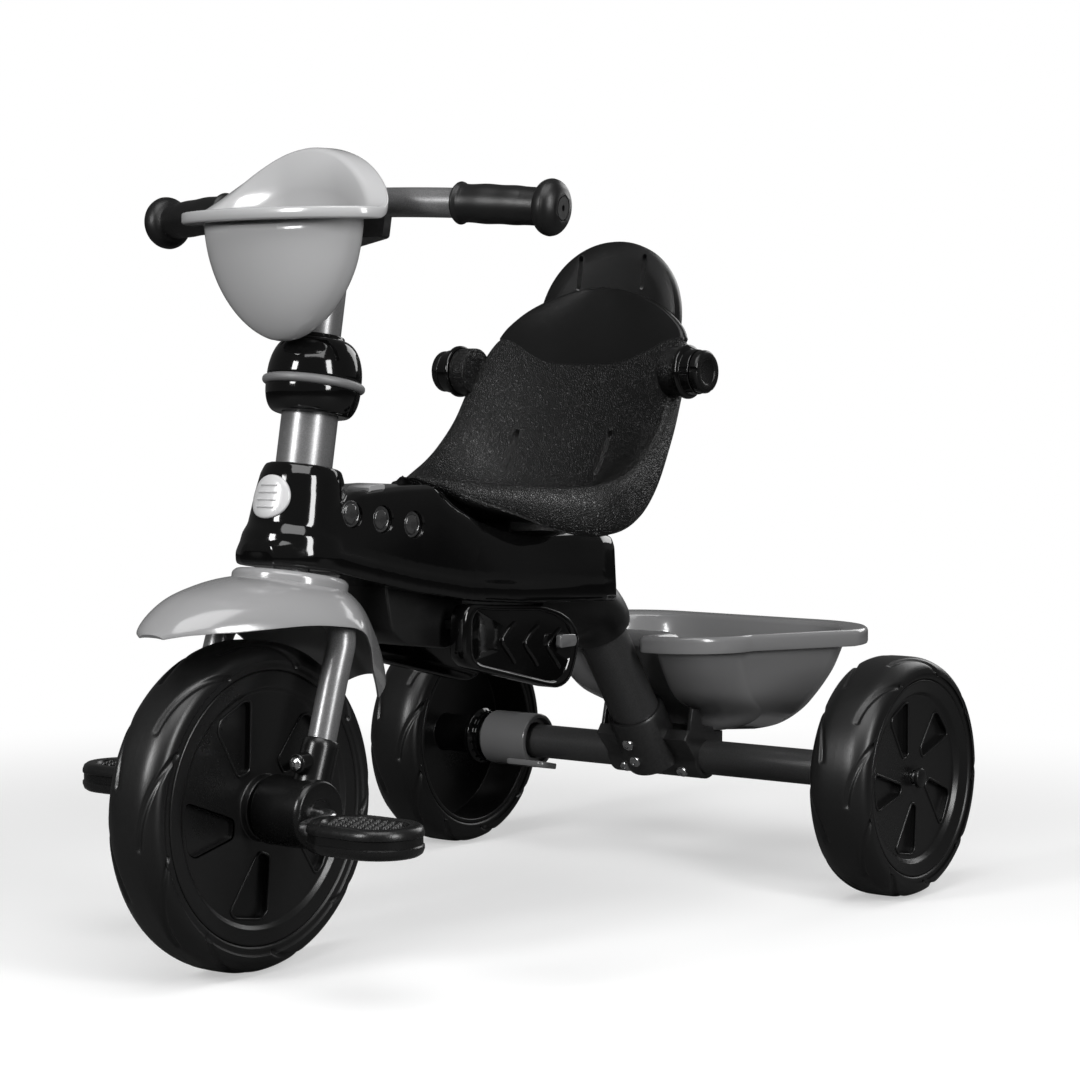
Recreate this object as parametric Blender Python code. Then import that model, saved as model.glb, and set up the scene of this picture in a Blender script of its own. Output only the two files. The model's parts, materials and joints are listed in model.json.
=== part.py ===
"""Children's pedal tricycle, built as separate pieces around its real joints.

Metres, +Z up. The trike faces -Y, and the rider's left hand is on +X. The
ground is z = 0, x = 0 is the plane that the trike is symmetric about, and
y = 0 is half way along its length. Lengths along the trike are measured from
the rear axle, so a point (x, y, z) here is y behind the rear axle.
"""
import math

import bmesh
import bpy
import numpy as np
from mathutils import Matrix, Vector

for old in list(bpy.data.objects):
    bpy.data.objects.remove(old, do_unlink=True)

# ---- Driving dimensions ----------------------------------------------------
WHEELBASE = 0.5445
GAP = 0.0003                # between pieces that touch
RUNNING_GAP = 0.0008        # between pieces that turn on each other

REAR_WHEEL_R = 0.100
REAR_TYRE_WIDTH = 0.0546
REAR_RIM_R = 0.0824
REAR_WHEEL_X = 0.2327
REAR_HUB_R = 0.017
REAR_DISH_R = 0.0693

FRONT_WHEEL_R = 0.121
FRONT_TYRE_WIDTH = 0.0488
FRONT_RIM_R = 0.1007
FRONT_DISH_R = 0.0864
FRONT_HUB_R = 0.021

WHEEL_WINDOWS = 5
RIM_WALL = 0.0035

HEAD_LEAN = math.radians(10.7)
FORK_OFFSET = 0.0217        # front axle ahead of the steering axis
HEAD_TUBE_R = 0.0212
HEAD_TUBE_WALL = 0.002
STEERER_R = 0.0135
STEERER_WALL = 0.002
STEM_R = 0.016
STEM_WALL = 0.002
HEAD_BOTTOM_Z = 0.300
HEAD_TOP_Z = 0.414
BALL_R = 0.0355
BALL_Z = 0.427
BALL_TOP_Z = 0.463
BALL_RING_R = 0.0385
BALL_RING_HEIGHT = 0.007

FRAME_TUBE_R = 0.0212
FRAME_TUBE_WALL = 0.002
FRAME_BEND = (0.0, -0.113, 0.240)     # where the two straight runs would meet
FRAME_BEND_R = 0.050
FRAME_SLOPE = HEAD_LEAN              # the top run stands square to the head
FRAME_DROP = math.radians(54.8)       # the rear run falls to the axle

AXLE_TUBE_R = 0.0150
AXLE_TUBE_WALL = 0.002
AXLE_TUBE_HALF = 0.190
AXLE_ROD_R = 0.005

BRACKET_HALF = 0.047
BRACKET_WALL = 0.004
BRACKET_TOP_Z = 0.143
BOLT_R = 0.0035
BOLT_HEAD_R = 0.0055
BOLT_HEAD_H = 0.003

FORK_LEG_X = 0.060
FORK_LEG_R = 0.0105
FORK_LEG_WALL = 0.0016
FORK_CROWN_Z = 0.262
FORK_CORNER_R = 0.030
FORK_END_R = 0.0255
FORK_END_IN = 0.029
FORK_END_OUT = 0.075
FORK_SLEEVE_R = 0.0135
FORK_SLEEVE_TOP_Z = 0.172
FORK_BOSS_REACH = 0.0225    # screw boss, forward of the leg's axis

CRANK_R = 0.005
CRANK_THROW = 0.038
CRANK_ANGLE = math.radians(6.0)      # left pedal ahead and a little down
CRANK_OUT_X = 0.088
PEDAL_LENGTH = 0.088
PEDAL_WIDTH = 0.062
PEDAL_THICK = 0.021
PEDAL_IN_X = 0.1035

BAR_R = 0.011
BAR_HALF = 0.1985
BAR_Z = 0.562
BAR_SWEEP = 0.018
BAR_DROP = 0.009
GRIP_R = 0.0142
GRIP_LENGTH = 0.086
GRIP_END_R = 0.0205

BASKET_HALF = 0.0925
BASKET_DEPTH = 0.092
BASKET_Z = 0.551
BASKET_BOTTOM_Z = 0.459
BASKET_TUB_HALF = 0.0725    # the tub just under its lip
BASKET_TUB_DEPTH = 0.069
BASKET_FLOOR_HALF = 0.022
BASKET_FLOOR_DEPTH = 0.024
BASKET_BACK_RISE = 0.048
BASKET_WALL = 0.003

BODY_HALF = 0.058
BODY_NOSE_R = 0.0415
BODY_REAR_Y = -0.131
BODY_WALL = 0.003
NECK_TOP_R = 0.0288
NECK_TOP_Z = 0.366

SEAT_WALL = 0.008
SEAT_SIDE_WALL = 0.016
SEAT_FOOT_FRONT_Y = -0.270
SEAT_FOOT_REAR_Y = -0.205
SEAT_FOOT_HALF = 0.035
SEAT_HALF = 0.1135
SOCKET_R = 0.022
KNOB_R = 0.0165
KNOB_X = 0.137
SOCKET_X = 0.119
SOCKET_Y = -0.139
SOCKET_Z = 0.436

BUCKET_HALF = 0.153
BUCKET_LENGTH = 0.233
BUCKET_FRONT_Y = -0.086
BUCKET_RIM_Z = 0.212
BUCKET_BOTTOM_Z = 0.1215
BUCKET_WALL = 0.0028

PAD_THICK = 0.016
PAD_X = 0.038
PAD_FRONT_Y = -0.352
PAD_REAR_Y = -0.199

REAR_AXLE_Z = REAR_WHEEL_R
FRONT_AXLE_Z = FRONT_WHEEL_R
FRONT_REACH = WHEELBASE + FRONT_WHEEL_R
REAR_REACH = max(BUCKET_FRONT_Y + BUCKET_LENGTH, REAR_WHEEL_R)
REAR_AXLE_Y = (FRONT_REACH - REAR_REACH) / 2


# ---- Places ----------------------------------------------------------------
def place(x, y, z):
    """World point of a point given from the rear axle's y."""
    return Vector((x, REAR_AXLE_Y + y, z))


def steering_point(z):
    """Point at height z on the steering axis, y from the rear axle."""
    y = -WHEELBASE + FORK_OFFSET + (z - FRONT_AXLE_Z) * math.tan(HEAD_LEAN)
    return Vector((0.0, y, z))


def along_head(z):
    """Distance up the steering axis from front-axle height to height z."""
    return (z - FRONT_AXLE_Z) / math.cos(HEAD_LEAN)


HEAD_ORIGIN = place(*steering_point(FRONT_AXLE_Z))
HEAD_TURN = (-HEAD_LEAN, 0.0, 0.0)
SIDEWAYS = (0.0, math.pi / 2, 0.0)          # local Z lies along +X


# ---- Materials -------------------------------------------------------------
def finish(name, shade, roughness, metallic=0.0):
    material = bpy.data.materials.new(name)
    material.use_nodes = True
    shader = material.node_tree.nodes["Principled BSDF"]
    shader.inputs["Base Color"].default_value = (shade, shade, shade, 1.0)
    shader.inputs["Roughness"].default_value = roughness
    shader.inputs["Metallic"].default_value = metallic
    return material


# ---- Shape tools -----------------------------------------------------------
def add_object(name, shape, material, location=(0, 0, 0), rotation=(0, 0, 0), smooth=35):
    """Close a bmesh into a named object, smooth where its faces meet gently."""
    bmesh.ops.remove_doubles(shape, verts=shape.verts, dist=1e-6)
    bmesh.ops.recalc_face_normals(shape, faces=shape.faces)
    mesh = bpy.data.meshes.new(name)
    shape.to_mesh(mesh)
    shape.free()
    mesh.shade_smooth()
    mesh.set_sharp_from_angle(angle=math.radians(smooth))
    thing = bpy.data.objects.new(name, mesh)
    bpy.context.scene.collection.objects.link(thing)
    thing.location = location
    thing.rotation_euler = rotation
    if material is not None:
        mesh.materials.append(material)
    return thing


def turned(name, profile, material, segments=32, location=(0, 0, 0), rotation=(0, 0, 0)):
    """Solid turned about local Z from closed (radius, height) points."""
    shape = bmesh.new()
    points = [shape.verts.new((radius, 0.0, height)) for radius, height in profile]
    edges = [shape.edges.new((a, b)) for a, b in zip(points, points[1:] + points[:1])]
    on_axis = [edge for edge in edges if all(v.co.x < 1e-7 for v in edge.verts)]
    bmesh.ops.delete(shape, geom=on_axis, context="EDGES_FACES")
    bmesh.ops.spin(shape, geom=shape.verts[:] + shape.edges[:], cent=(0, 0, 0), axis=(0, 0, 1),
                   angle=2 * math.pi, steps=segments, use_merge=True)
    bmesh.ops.remove_doubles(shape, verts=shape.verts, dist=1e-6)
    bmesh.ops.dissolve_degenerate(shape, dist=1e-7, edges=shape.edges)
    return add_object(name, shape, material, location, rotation)


def disc(name, radius, low, high, material, bore=0.0, edge=0.0, segments=24, **where):
    """Turned disc, plain tube or bushing between two heights on local Z."""
    outer = [(radius - edge, low), (radius, low + edge), (radius, high - edge), (radius - edge, high)]
    if edge == 0.0:
        outer = [(radius, low), (radius, high)]
    return turned(name, [(bore, low)] + outer + [(bore, high)], material, segments, **where)


def rings_to_shape(rings, capped=True):
    """Skin a row of equal closed rings, with flat ends."""
    shape = bmesh.new()
    rows = [[shape.verts.new(point) for point in ring] for ring in rings]
    for low, high in zip(rows, rows[1:]):
        for i in range(len(low)):
            j = (i + 1) % len(low)
            shape.faces.new((low[i], low[j], high[j], high[i]))
    if capped:
        shape.faces.new(rows[0])
        shape.faces.new(rows[-1])
    return shape


def tube(name, path, radius, material, bore=0.0, segments=16):
    """Round bar, or tube with a bore, along a path of world points."""
    path = [Vector(point) for point in path]
    ways = [(b - a).normalized() for a, b in zip(path, path[1:])]
    ways = [ways[0]] + [(a + b).normalized() for a, b in zip(ways, ways[1:])] + [ways[-1]]
    side = ways[0].orthogonal().normalized()
    rings = []
    for point, way in zip(path, ways):
        side = (side - way * side.dot(way)).normalized()
        rise = way.cross(side)
        rings.append((point, side.copy(), rise))

    def ring(index, size):
        point, across, rise = rings[index]
        turns = [2 * math.pi * i / segments for i in range(segments)]
        return [point + (across * math.cos(t) + rise * math.sin(t)) * size for t in turns]

    outer = [ring(i, radius) for i in range(len(path))]
    if bore == 0.0:
        return add_object(name, rings_to_shape(outer), material)
    inner = [ring(i, bore) for i in range(len(path))]
    loop = outer + inner[::-1]
    shape = bmesh.new()
    rows = [[shape.verts.new(point) for point in row] for row in loop]
    for low, high in zip(rows, rows[1:] + rows[:1]):
        for i in range(segments):
            j = (i + 1) % segments
            shape.faces.new((low[i], low[j], high[j], high[i]))
    return add_object(name, shape, material)


def bent(corners, radius, steps=6):
    """Path through corner points, with each inner corner rounded to a radius."""
    corners = [Vector(corner) for corner in corners]
    path = [corners[0]]
    for before, corner, after in zip(corners, corners[1:], corners[2:]):
        back = (before - corner).normalized()
        on = (after - corner).normalized()
        half = back.angle(on) / 2
        reach = radius / math.tan(half)
        centre = corner + (back + on).normalized() * (radius / math.sin(half))
        start = corner + back * reach - centre
        end = corner + on * reach - centre
        for i in range(steps + 1):
            path.append(centre + start.slerp(end, i / steps).normalized() * radius)
    path.append(corners[-1])
    return path


def boolean(thing, other, operation="DIFFERENCE"):
    """Cut or join with another solid, which is only a cutter from then on."""
    modifier = thing.modifiers.new(operation.lower() + "_" + other.name, "BOOLEAN")
    modifier.operation = operation
    modifier.solver = "EXACT"
    modifier.object = other
    other.hide_render = True
    other.display_type = "WIRE"
    return thing


def rounded(thing, width, segments=2, angle=40):
    modifier = thing.modifiers.new("edges", "BEVEL")
    modifier.width = width
    modifier.segments = segments
    modifier.limit_method = "ANGLE"
    modifier.angle_limit = math.radians(angle)
    return thing


def slab(name, outline, thick, material, **where):
    """Flat plate: a closed (x, y) outline raised along local Z by its thickness."""
    shape = bmesh.new()
    face = shape.faces.new([shape.verts.new((x, y, 0.0)) for x, y in outline])
    top = bmesh.ops.extrude_face_region(shape, geom=[face])["geom"]
    bmesh.ops.translate(shape, vec=(0, 0, thick), verts=[v for v in top if isinstance(v, bmesh.types.BMVert)])
    return add_object(name, shape, material, **where)


def arc(cx, cy, radius, start, end, steps):
    """Points on an arc, angles in degrees."""
    turns = [math.radians(start + (end - start) * i / steps) for i in range(steps + 1)]
    return [(cx + radius * math.cos(t), cy + radius * math.sin(t)) for t in turns]


def clear_of(radius, segments):
    """Bore radius whose flats, not only its corners, stand clear of a radius."""
    return radius / math.cos(math.pi / segments)


def hold(moving, *things):
    """Hang pieces on the empty that stands on their joint's axis."""
    for thing in things:
        thing.parent = moving
        thing.matrix_parent_inverse = moving.matrix_basis.inverted()


def pivot(name, location, rotation=(0, 0, 0)):
    empty = bpy.data.objects.new(name, None)
    empty.location = location
    empty.rotation_euler = rotation
    bpy.context.scene.collection.objects.link(empty)
    return empty


def between(value, table):
    """Read a smooth size along the trike from a few stations (at, size)."""
    places, sizes = zip(*table)
    return float(np.interp(value, places, sizes))


gloss_black = finish("gloss_black_plastic", 0.012, 0.12)
satin_black = finish("satin_black_plastic", 0.018, 0.42)
tread_black = finish("tyre_black", 0.02, 0.5)
light_grey = finish("light_grey_plastic", 0.42, 0.22)
mid_grey = finish("mid_grey_plastic", 0.24, 0.22)
tube_grey = finish("grey_painted_steel", 0.20, 0.35, 0.4)
dark_tube = finish("dark_grey_painted_steel", 0.08, 0.35, 0.3)
bright_steel = finish("bright_steel", 0.7, 0.18, 1.0)


# ---- Frame tubes -----------------------------------------------------------
head_low = along_head(HEAD_BOTTOM_Z)
head_high = along_head(HEAD_TOP_Z)
head = dict(location=HEAD_ORIGIN, rotation=HEAD_TURN)
head_bore = HEAD_TUBE_R - HEAD_TUBE_WALL
disc("head_tube", HEAD_TUBE_R, head_low, head_high, tube_grey, bore=head_bore, **head)
BUSH_HEIGHT = 0.014
for bush, low in (("head_bush_lower", head_low + GAP), ("head_bush_upper", head_high - BUSH_HEIGHT - GAP)):
    disc(bush, head_bore - GAP, low, low + BUSH_HEIGHT, satin_black, bore=STEERER_R + RUNNING_GAP,
         segments=24, **head)

slope_way = Vector((0, math.cos(FRAME_SLOPE), -math.sin(FRAME_SLOPE)))
drop_way = Vector((0, math.cos(FRAME_DROP), -math.sin(FRAME_DROP)))
bend_point = place(*FRAME_BEND)
axle_point = place(0, 0, REAR_AXLE_Z)
head_y = steering_point(0.307).y
run = (bend_point.y - REAR_AXLE_Y - head_y) / slope_way.y
frame_front = bend_point - slope_way * run
foot = bend_point + drop_way * (axle_point - bend_point).dot(drop_way)
frame_end = foot - drop_way * (AXLE_TUBE_R + GAP * 2)
frame_path = bent([frame_front, bend_point, frame_end], FRAME_BEND_R, 4)
FRAME_SEGMENTS = 16
frame_clear = clear_of(FRAME_TUBE_R + GAP, FRAME_SEGMENTS)
main_tube = tube("main_tube", frame_path, FRAME_TUBE_R, dark_tube,
                 bore=FRAME_TUBE_R - FRAME_TUBE_WALL, segments=FRAME_SEGMENTS)
head_cope = disc("head_cope", HEAD_TUBE_R + GAP, along_head(0.24), along_head(0.38), None, **head)
boolean(main_tube, head_cope)

axle = dict(location=place(0, 0, REAR_AXLE_Z), rotation=SIDEWAYS)
disc("rear_axle_tube", AXLE_TUBE_R, -AXLE_TUBE_HALF, AXLE_TUBE_HALF, dark_tube,
     bore=AXLE_TUBE_R - AXLE_TUBE_WALL, segments=24, **axle)
REAR_FACE = REAR_TYRE_WIDTH / 2 - 0.0019     # wheel face out from the wheel's middle
CAP_DEEP = 0.0015                             # rod end under the cap's face
rod_half = REAR_WHEEL_X + REAR_FACE - CAP_DEEP - GAP
disc("rear_axle_rod", AXLE_ROD_R, -rod_half, rod_half, bright_steel, segments=16, **axle)


# ---- Rear axle bracket and its bolts ---------------------------------------
SHELF = BUCKET_BOTTOM_Z - GAP - REAR_AXLE_Z      # the bucket's floor sits on this


def bracket_outline():
    """Side view of the bracket, (y, z) from the axle centre."""
    r = AXLE_TUBE_R + BRACKET_WALL
    return ([(-r, 0.0)] + arc(0, 0, r, 180, 270, 4)[1:] + arc(0, 0, r, 270, 360, 4)[1:]
            + [(0.024, 0.010), (0.024, SHELF), (0.0115, SHELF), (0.008, 0.026), (-0.030, 0.026), (-0.036, 0.018)])


def side_slab(name, outline, x_low, x_high, material):
    """Plate with a (y, z) outline from the axle centre, between two x."""
    shape = bmesh.new()
    start = [shape.verts.new(place(x_low, y, REAR_AXLE_Z + z)) for y, z in outline]
    face = shape.faces.new(start)
    out = bmesh.ops.extrude_face_region(shape, geom=[face])["geom"]
    bmesh.ops.translate(shape, vec=(x_high - x_low, 0, 0), verts=[v for v in out if isinstance(v, bmesh.types.BMVert)])
    return add_object(name, shape, material)


axle_bracket = side_slab("axle_bracket", bracket_outline(), -BRACKET_HALF, BRACKET_HALF, satin_black)
sleeve_r = FRAME_TUBE_R + BRACKET_WALL
sleeve_top = bend_point + drop_way * ((BRACKET_TOP_Z - bend_point.z) / drop_way.z)
sleeve_foot = foot - drop_way * AXLE_TUBE_R * 0.4
boolean(axle_bracket, tube("bracket_sleeve", [sleeve_top, sleeve_foot], sleeve_r, None, segments=16), "UNION")
FIN_THICK = 0.004
fin_outline = [(-0.030, 0.024), (-0.004, 0.024), (-0.014, 0.043), (-0.024, 0.045)]
for sign in (-1, 1):
    low, high = sorted((sign * (BRACKET_HALF - 0.0002), sign * (BRACKET_HALF - FIN_THICK)))
    fin = side_slab("bracket_fin_%d" % sign, fin_outline, low, high, None)
    boolean(axle_bracket, fin, "UNION")
boolean(axle_bracket, tube("bracket_frame_bore", [sleeve_top - drop_way * 0.01, foot], frame_clear,
                           None, segments=FRAME_SEGMENTS))
boolean(axle_bracket, disc("bracket_axle_bore", AXLE_TUBE_R + GAP, -0.08, 0.08, None, segments=24, **axle))


def bolt(name, seat_point, way, length=0.0, head=BOLT_HEAD_R):
    """Domed socket head standing on a point, its shank into the work."""
    turn = Vector(way).to_track_quat("Z", "Y").to_euler()
    profile = [(0.0, BOLT_HEAD_H), (head * 0.55, BOLT_HEAD_H), (head * 0.92, BOLT_HEAD_H * 0.6), (head, GAP),
               (0.0, GAP)]
    if length > 0.0:
        profile = profile[:-1] + [(BOLT_R, GAP), (BOLT_R, -length), (0.0, -length)]
    return turned(name, profile, bright_steel, 10, location=seat_point, rotation=turn)


# The bolts stand on the bracket's skin, square to it.
face_way = Vector((0, -math.sin(FRAME_DROP), -math.cos(FRAME_DROP)))
for name, reach in (("frame_bolt_upper", 0.019), ("frame_bolt_lower", 0.038)):
    bolt(name, sleeve_top + drop_way * reach + face_way * (sleeve_r + GAP), face_way)
skin_way = Vector((0, -math.cos(math.radians(40)), -math.sin(math.radians(40))))
for side, x in (("left", 0.030), ("right", -0.030)):
    bolt("axle_bolt_" + side, axle_point + Vector((x, 0, 0)) + skin_way * (AXLE_TUBE_R + BRACKET_WALL + GAP), skin_way)


# ---- Body covers -----------------------------------------------------------
# Stations (y, size) from the nose to the rear.
BODY_WIDTHS = [(-0.529, 0.016), (-0.522, 0.028), (-0.508, 0.0375), (-0.4875, BODY_NOSE_R), (-0.440, 0.0430),
               (-0.390, 0.048), (-0.330, BODY_HALF - 0.002), (-0.280, BODY_HALF), (-0.170, BODY_HALF),
               (-0.150, 0.0545), (-0.138, 0.046), (BODY_REAR_Y, 0.032)]
BODY_FLOOR = [(-0.529, 0.296), (-0.4875, 0.290), (-0.449, 0.281), (-0.400, 0.270), (-0.345, 0.260),
              (-0.280, 0.254), (BODY_REAR_Y, 0.246)]
BODY_DECK = [(-0.529, 0.312), (-0.508, 0.316), (-0.4875, 0.335), (-0.450, 0.3475), (-0.400, 0.350), (-0.372, 0.350),
             (-0.352, 0.336), (-0.325, 0.322), (-0.285, 0.3105), (-0.200, 0.3085), (-0.170, 0.3065), (-0.150, 0.303),
             (BODY_REAR_Y, 0.294)]
BODY_STATIONS = [-0.529, -0.522, -0.508, -0.4875, -0.450, -0.400, -0.372, -0.352, -0.325, -0.285,
                 -0.200, -0.170, -0.150, -0.138, BODY_REAR_Y]
BAND_HEIGHT = 0.015
BAND_PROUD = 0.003


def body_ring(y, inset=0.0, floor_drop=0.0):
    """Closed section of the body cover at y, moved in by an inset."""
    half = between(y, BODY_WIDTHS) - inset
    floor = between(y, BODY_FLOOR) - floor_drop
    deck = between(y, BODY_DECK) - inset
    tall = deck - floor
    band = min(BAND_HEIGHT, tall * 0.6)
    wall = half - BAND_PROUD
    side = [(half - 0.0015, floor), (half, floor + 0.003), (half, floor + band), (wall, floor + band + 0.004),
            (wall - 0.0015, max(deck - 0.010, floor + band + 0.006)), (wall - 0.0045, deck - 0.003), (wall - 0.012, deck)]
    return ([place(x, y, z) for x, z in side] + [place(-x, y, z) for x, z in side[::-1]])


body_cover = add_object("body_cover", rings_to_shape([body_ring(y) for y in BODY_STATIONS]), gloss_black, smooth=30)
NECK_PROFILE = [(BODY_NOSE_R - 0.003, 0.294), (BODY_NOSE_R, 0.298), (BODY_NOSE_R - 0.002, 0.313),
                (0.0362, 0.320), (0.0335, 0.345), (0.0313, 0.358), (NECK_TOP_R - 0.002, NECK_TOP_Z)]
neck = turned("neck_form", [(0.0, along_head(0.294))] + [(r, along_head(z)) for r, z in NECK_PROFILE]
              + [(0.0, along_head(NECK_TOP_Z + 0.001))], None, 20, **head)
boolean(body_cover, neck, "UNION")
inner_stations = [y for y in BODY_STATIONS if -0.515 < y < -0.135]
cavity = add_object("body_cavity", rings_to_shape([body_ring(y, BODY_WALL, 0.012) for y in inner_stations]), None)
boolean(body_cover, cavity)
boolean(body_cover, disc("neck_bore", HEAD_TUBE_R + GAP, along_head(0.27), along_head(0.40), None, segments=26, **head))

# The lower cover closes the body's underside and sleeves the frame tube down
# to the boot where the bare tube comes out.
COVER_FRONT_Y = -0.3155
BOOT_R = 0.029
COVER_THICK = 0.004
COVER_INSET = 0.003         # the plate stands this far up inside the skirt
cover_stations = [COVER_FRONT_Y, -0.285, -0.200, -0.170, -0.150]


def floor_ring(y):
    half = between(y, BODY_WIDTHS) - BODY_WALL - BAND_PROUD - GAP
    low = between(y, BODY_FLOOR) + COVER_INSET
    high = low + COVER_THICK
    return [place(-half, y, low), place(half, y, low), place(half, y, high), place(-half, y, high)]


lower_cover = add_object("lower_cover", rings_to_shape([floor_ring(y) for y in cover_stations]), satin_black, smooth=30)
cover_start = bend_point - slope_way * ((bend_point.y - place(0, COVER_FRONT_Y + 0.004, 0).y) / slope_way.y)
boot_end = bend_point + drop_way * 0.027
cover_path = bent([cover_start, bend_point, boot_end], FRAME_BEND_R, 4)
boolean(lower_cover, tube("boot_form", cover_path, BOOT_R, None, segments=16), "UNION")
bore_path = [cover_path[0] - slope_way * 0.01] + cover_path + [boot_end + drop_way * 0.01]
boolean(lower_cover, tube("boot_bore", bore_path, frame_clear, None, segments=FRAME_SEGMENTS))
boolean(body_cover, tube("boot_clear", bore_path, clear_of(BOOT_R + GAP, 16), None, segments=16))


# ---- Badge and lenses on the body ------------------------------------------
badge_z = 0.339
badge_way = Vector((0.0, -math.cos(HEAD_LEAN + 0.06), math.sin(HEAD_LEAN + 0.06)))
badge_seat = place(*steering_point(badge_z)) + badge_way * 0.0305
badge = slab("neck_badge", [(0.0175 * math.cos(t), 0.0165 * math.sin(t)) for t in np.linspace(0, 2 * math.pi, 17)[:-1]],
             0.0065, light_grey, location=badge_seat, rotation=badge_way.to_track_quat("Z", "Y").to_euler())
rounded(badge, 0.0015, 1)
badge_clear = disc("badge_clear", 0.0346 + 0.0022, along_head(0.31), along_head(0.365), None, segments=40, **head)
boolean(badge, badge_clear)

LENS_R = 0.0105
LENS_PITCH = 0.0325
LENS_Y = -0.465
LENS_Z = 0.3315
LENS_FALL = 0.0052
LENS_STRIP_R = 0.003
for side, sign in (("left", 1), ("right", -1)):
    strip_path = []
    lenses = []
    for number in range(3):
        y = LENS_Y + LENS_PITCH * number
        z = LENS_Z - LENS_FALL * number
        skin = between(y, BODY_WIDTHS) - BAND_PROUD - 0.001
        turn = (0, sign * math.pi / 2, 0)
        profile = [(0.0, -0.0045), (LENS_R, -0.0045), (LENS_R, 0.0006), (0.0, 0.0006)]
        lenses.append(turned("lens_%s_%d" % (side, number + 1), profile, light_grey, 14,
                             location=place(sign * skin, y, z), rotation=turn))
        boolean(body_cover, disc("lens_pocket_%s_%d" % (side, number), clear_of(LENS_R + GAP, 14), -0.006, 0.02, None, segments=14,
                                 location=place(sign * skin, y, z), rotation=turn))
        strip_path.append(place(sign * (skin - 0.0072), y, z))
    strip = tube("lens_strip_" + side, strip_path, LENS_STRIP_R, light_grey, segments=6)
    for lens in lenses:
        boolean(strip, lens, "UNION")


# ---- Ball collar around the head joint -------------------------------------
ring_low = along_head(BALL_Z) - BALL_RING_HEIGHT / 2
ring_high = along_head(BALL_Z) + BALL_RING_HEIGHT / 2
ball_low = head_high - 0.010
turned("ball_lower", [(HEAD_TUBE_R + GAP, ball_low), (0.026, ball_low), (0.0315, ball_low + 0.005),
                      (BALL_R - 0.001, ring_low - 0.008), (BALL_R, ring_low - GAP), (STEERER_R + 0.004, ring_low - GAP),
                      (STEERER_R + 0.004, head_high + GAP), (HEAD_TUBE_R + GAP, head_high + GAP)], gloss_black, 20, **head)
disc("ball_ring", BALL_RING_R, ring_low, ring_high, mid_grey, bore=STEERER_R + 0.004, edge=0.0015, segments=20, **head)
ball_high = along_head(BALL_TOP_Z)
ball_start = ring_high + RUNNING_GAP
dome = [(BALL_R, ball_start), (BALL_R - 0.0008, ball_start + 0.010), (BALL_R - 0.0055, ball_start + 0.0185),
        (BALL_R - 0.0125, ball_high - 0.006), (STEM_R + 0.0045, ball_high - 0.004), (STEM_R + 0.0045, ball_high)]
STEERER_TOP_Z = 0.470
stem_low = ball_start + 0.004
ball_upper = turned("ball_upper", [(STEM_R + GAP, ball_start)] + dome + [(STEM_R + GAP, ball_high)], gloss_black, 20,
                    **head)

# ---- Steerer, stem, bar and grips ------------------------------------------
steering = pivot("steering_axis", HEAD_ORIGIN, HEAD_TURN)
crown_low = along_head(FORK_CROWN_Z) + FORK_LEG_R
steerer = disc("steerer_tube", STEERER_R, crown_low, along_head(STEERER_TOP_Z), bright_steel,
               bore=STEERER_R - STEERER_WALL, segments=24, **head)
bar_middle = place(*steering_point(BAR_Z))
stem = disc("stem_tube", STEM_R, stem_low, along_head(BAR_Z) - 0.002, tube_grey, bore=STEERER_R + GAP, segments=24,
            **head)
bar_path = [Vector((x, bar_middle.y + BAR_SWEEP * (x / BAR_HALF) ** 2, BAR_Z - BAR_DROP * (x / BAR_HALF) ** 2))
            for x in np.linspace(-BAR_HALF + 0.004, BAR_HALF - 0.004, 9)]
handlebar = tube("handlebar", bar_path, BAR_R, tube_grey, bore=BAR_R - 0.0018, segments=12)
stem_notch = tube("stem_notch", bar_path[3:6], BAR_R + GAP, None, segments=12)
boolean(stem, stem_notch)
grips = []
GRIP_BORE_GAP = 0.0016      # lets the straight grip sit on the gently curved bar
for side, sign in (("left", 1), ("right", -1)):
    def bar_point(x):
        return Vector((sign * x, bar_middle.y + BAR_SWEEP * (x / BAR_HALF) ** 2, BAR_Z - BAR_DROP * (x / BAR_HALF) ** 2))

    inner = bar_point(BAR_HALF - GRIP_LENGTH)
    outer = bar_point(BAR_HALF)
    span = (outer - inner).length
    bore = BAR_R + GRIP_BORE_GAP
    profile = [(bore, 0.0), (0.0158, 0.0), (0.0158, 0.005), (GRIP_R, 0.008), (GRIP_R, span - 0.030),
               (GRIP_END_R - 0.003, span - 0.021), (GRIP_END_R, span - 0.012), (GRIP_END_R, span - 0.006),
               (GRIP_END_R - 0.004, span), (0.0, span), (0.0, span - 0.0035), (bore, span - 0.0035)]
    turn = (outer - inner).to_track_quat("Z", "Y").to_euler()
    grips.append(turned("grip_" + side, profile, satin_black, 14, location=inner, rotation=turn))

# ---- Front basket and its bracket ------------------------------------------
BASKET_BACK_GAP = 0.0055


def stem_front(z):
    """y, from the rear axle, of the front of the stem at height z."""
    return steering_point(z).y - STEM_R / math.cos(HEAD_LEAN)


def basket_ring(half, depth, front_y, z_flat, back_y, rise=0.0, steps=20):
    """D-shaped ring: an oval cut flat at the back, raised there by an arc."""
    ring = []
    for i in range(steps):
        turn = 2 * math.pi * i / steps
        x = half * math.sin(turn)
        y = front_y + depth / 2 - depth / 2 * math.cos(turn)
        z = z_flat
        behind = max(0.0, -math.cos(turn))
        z += rise * behind ** 1.8
        ring.append(place(x, min(y, back_y), z))
    return ring


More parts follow.
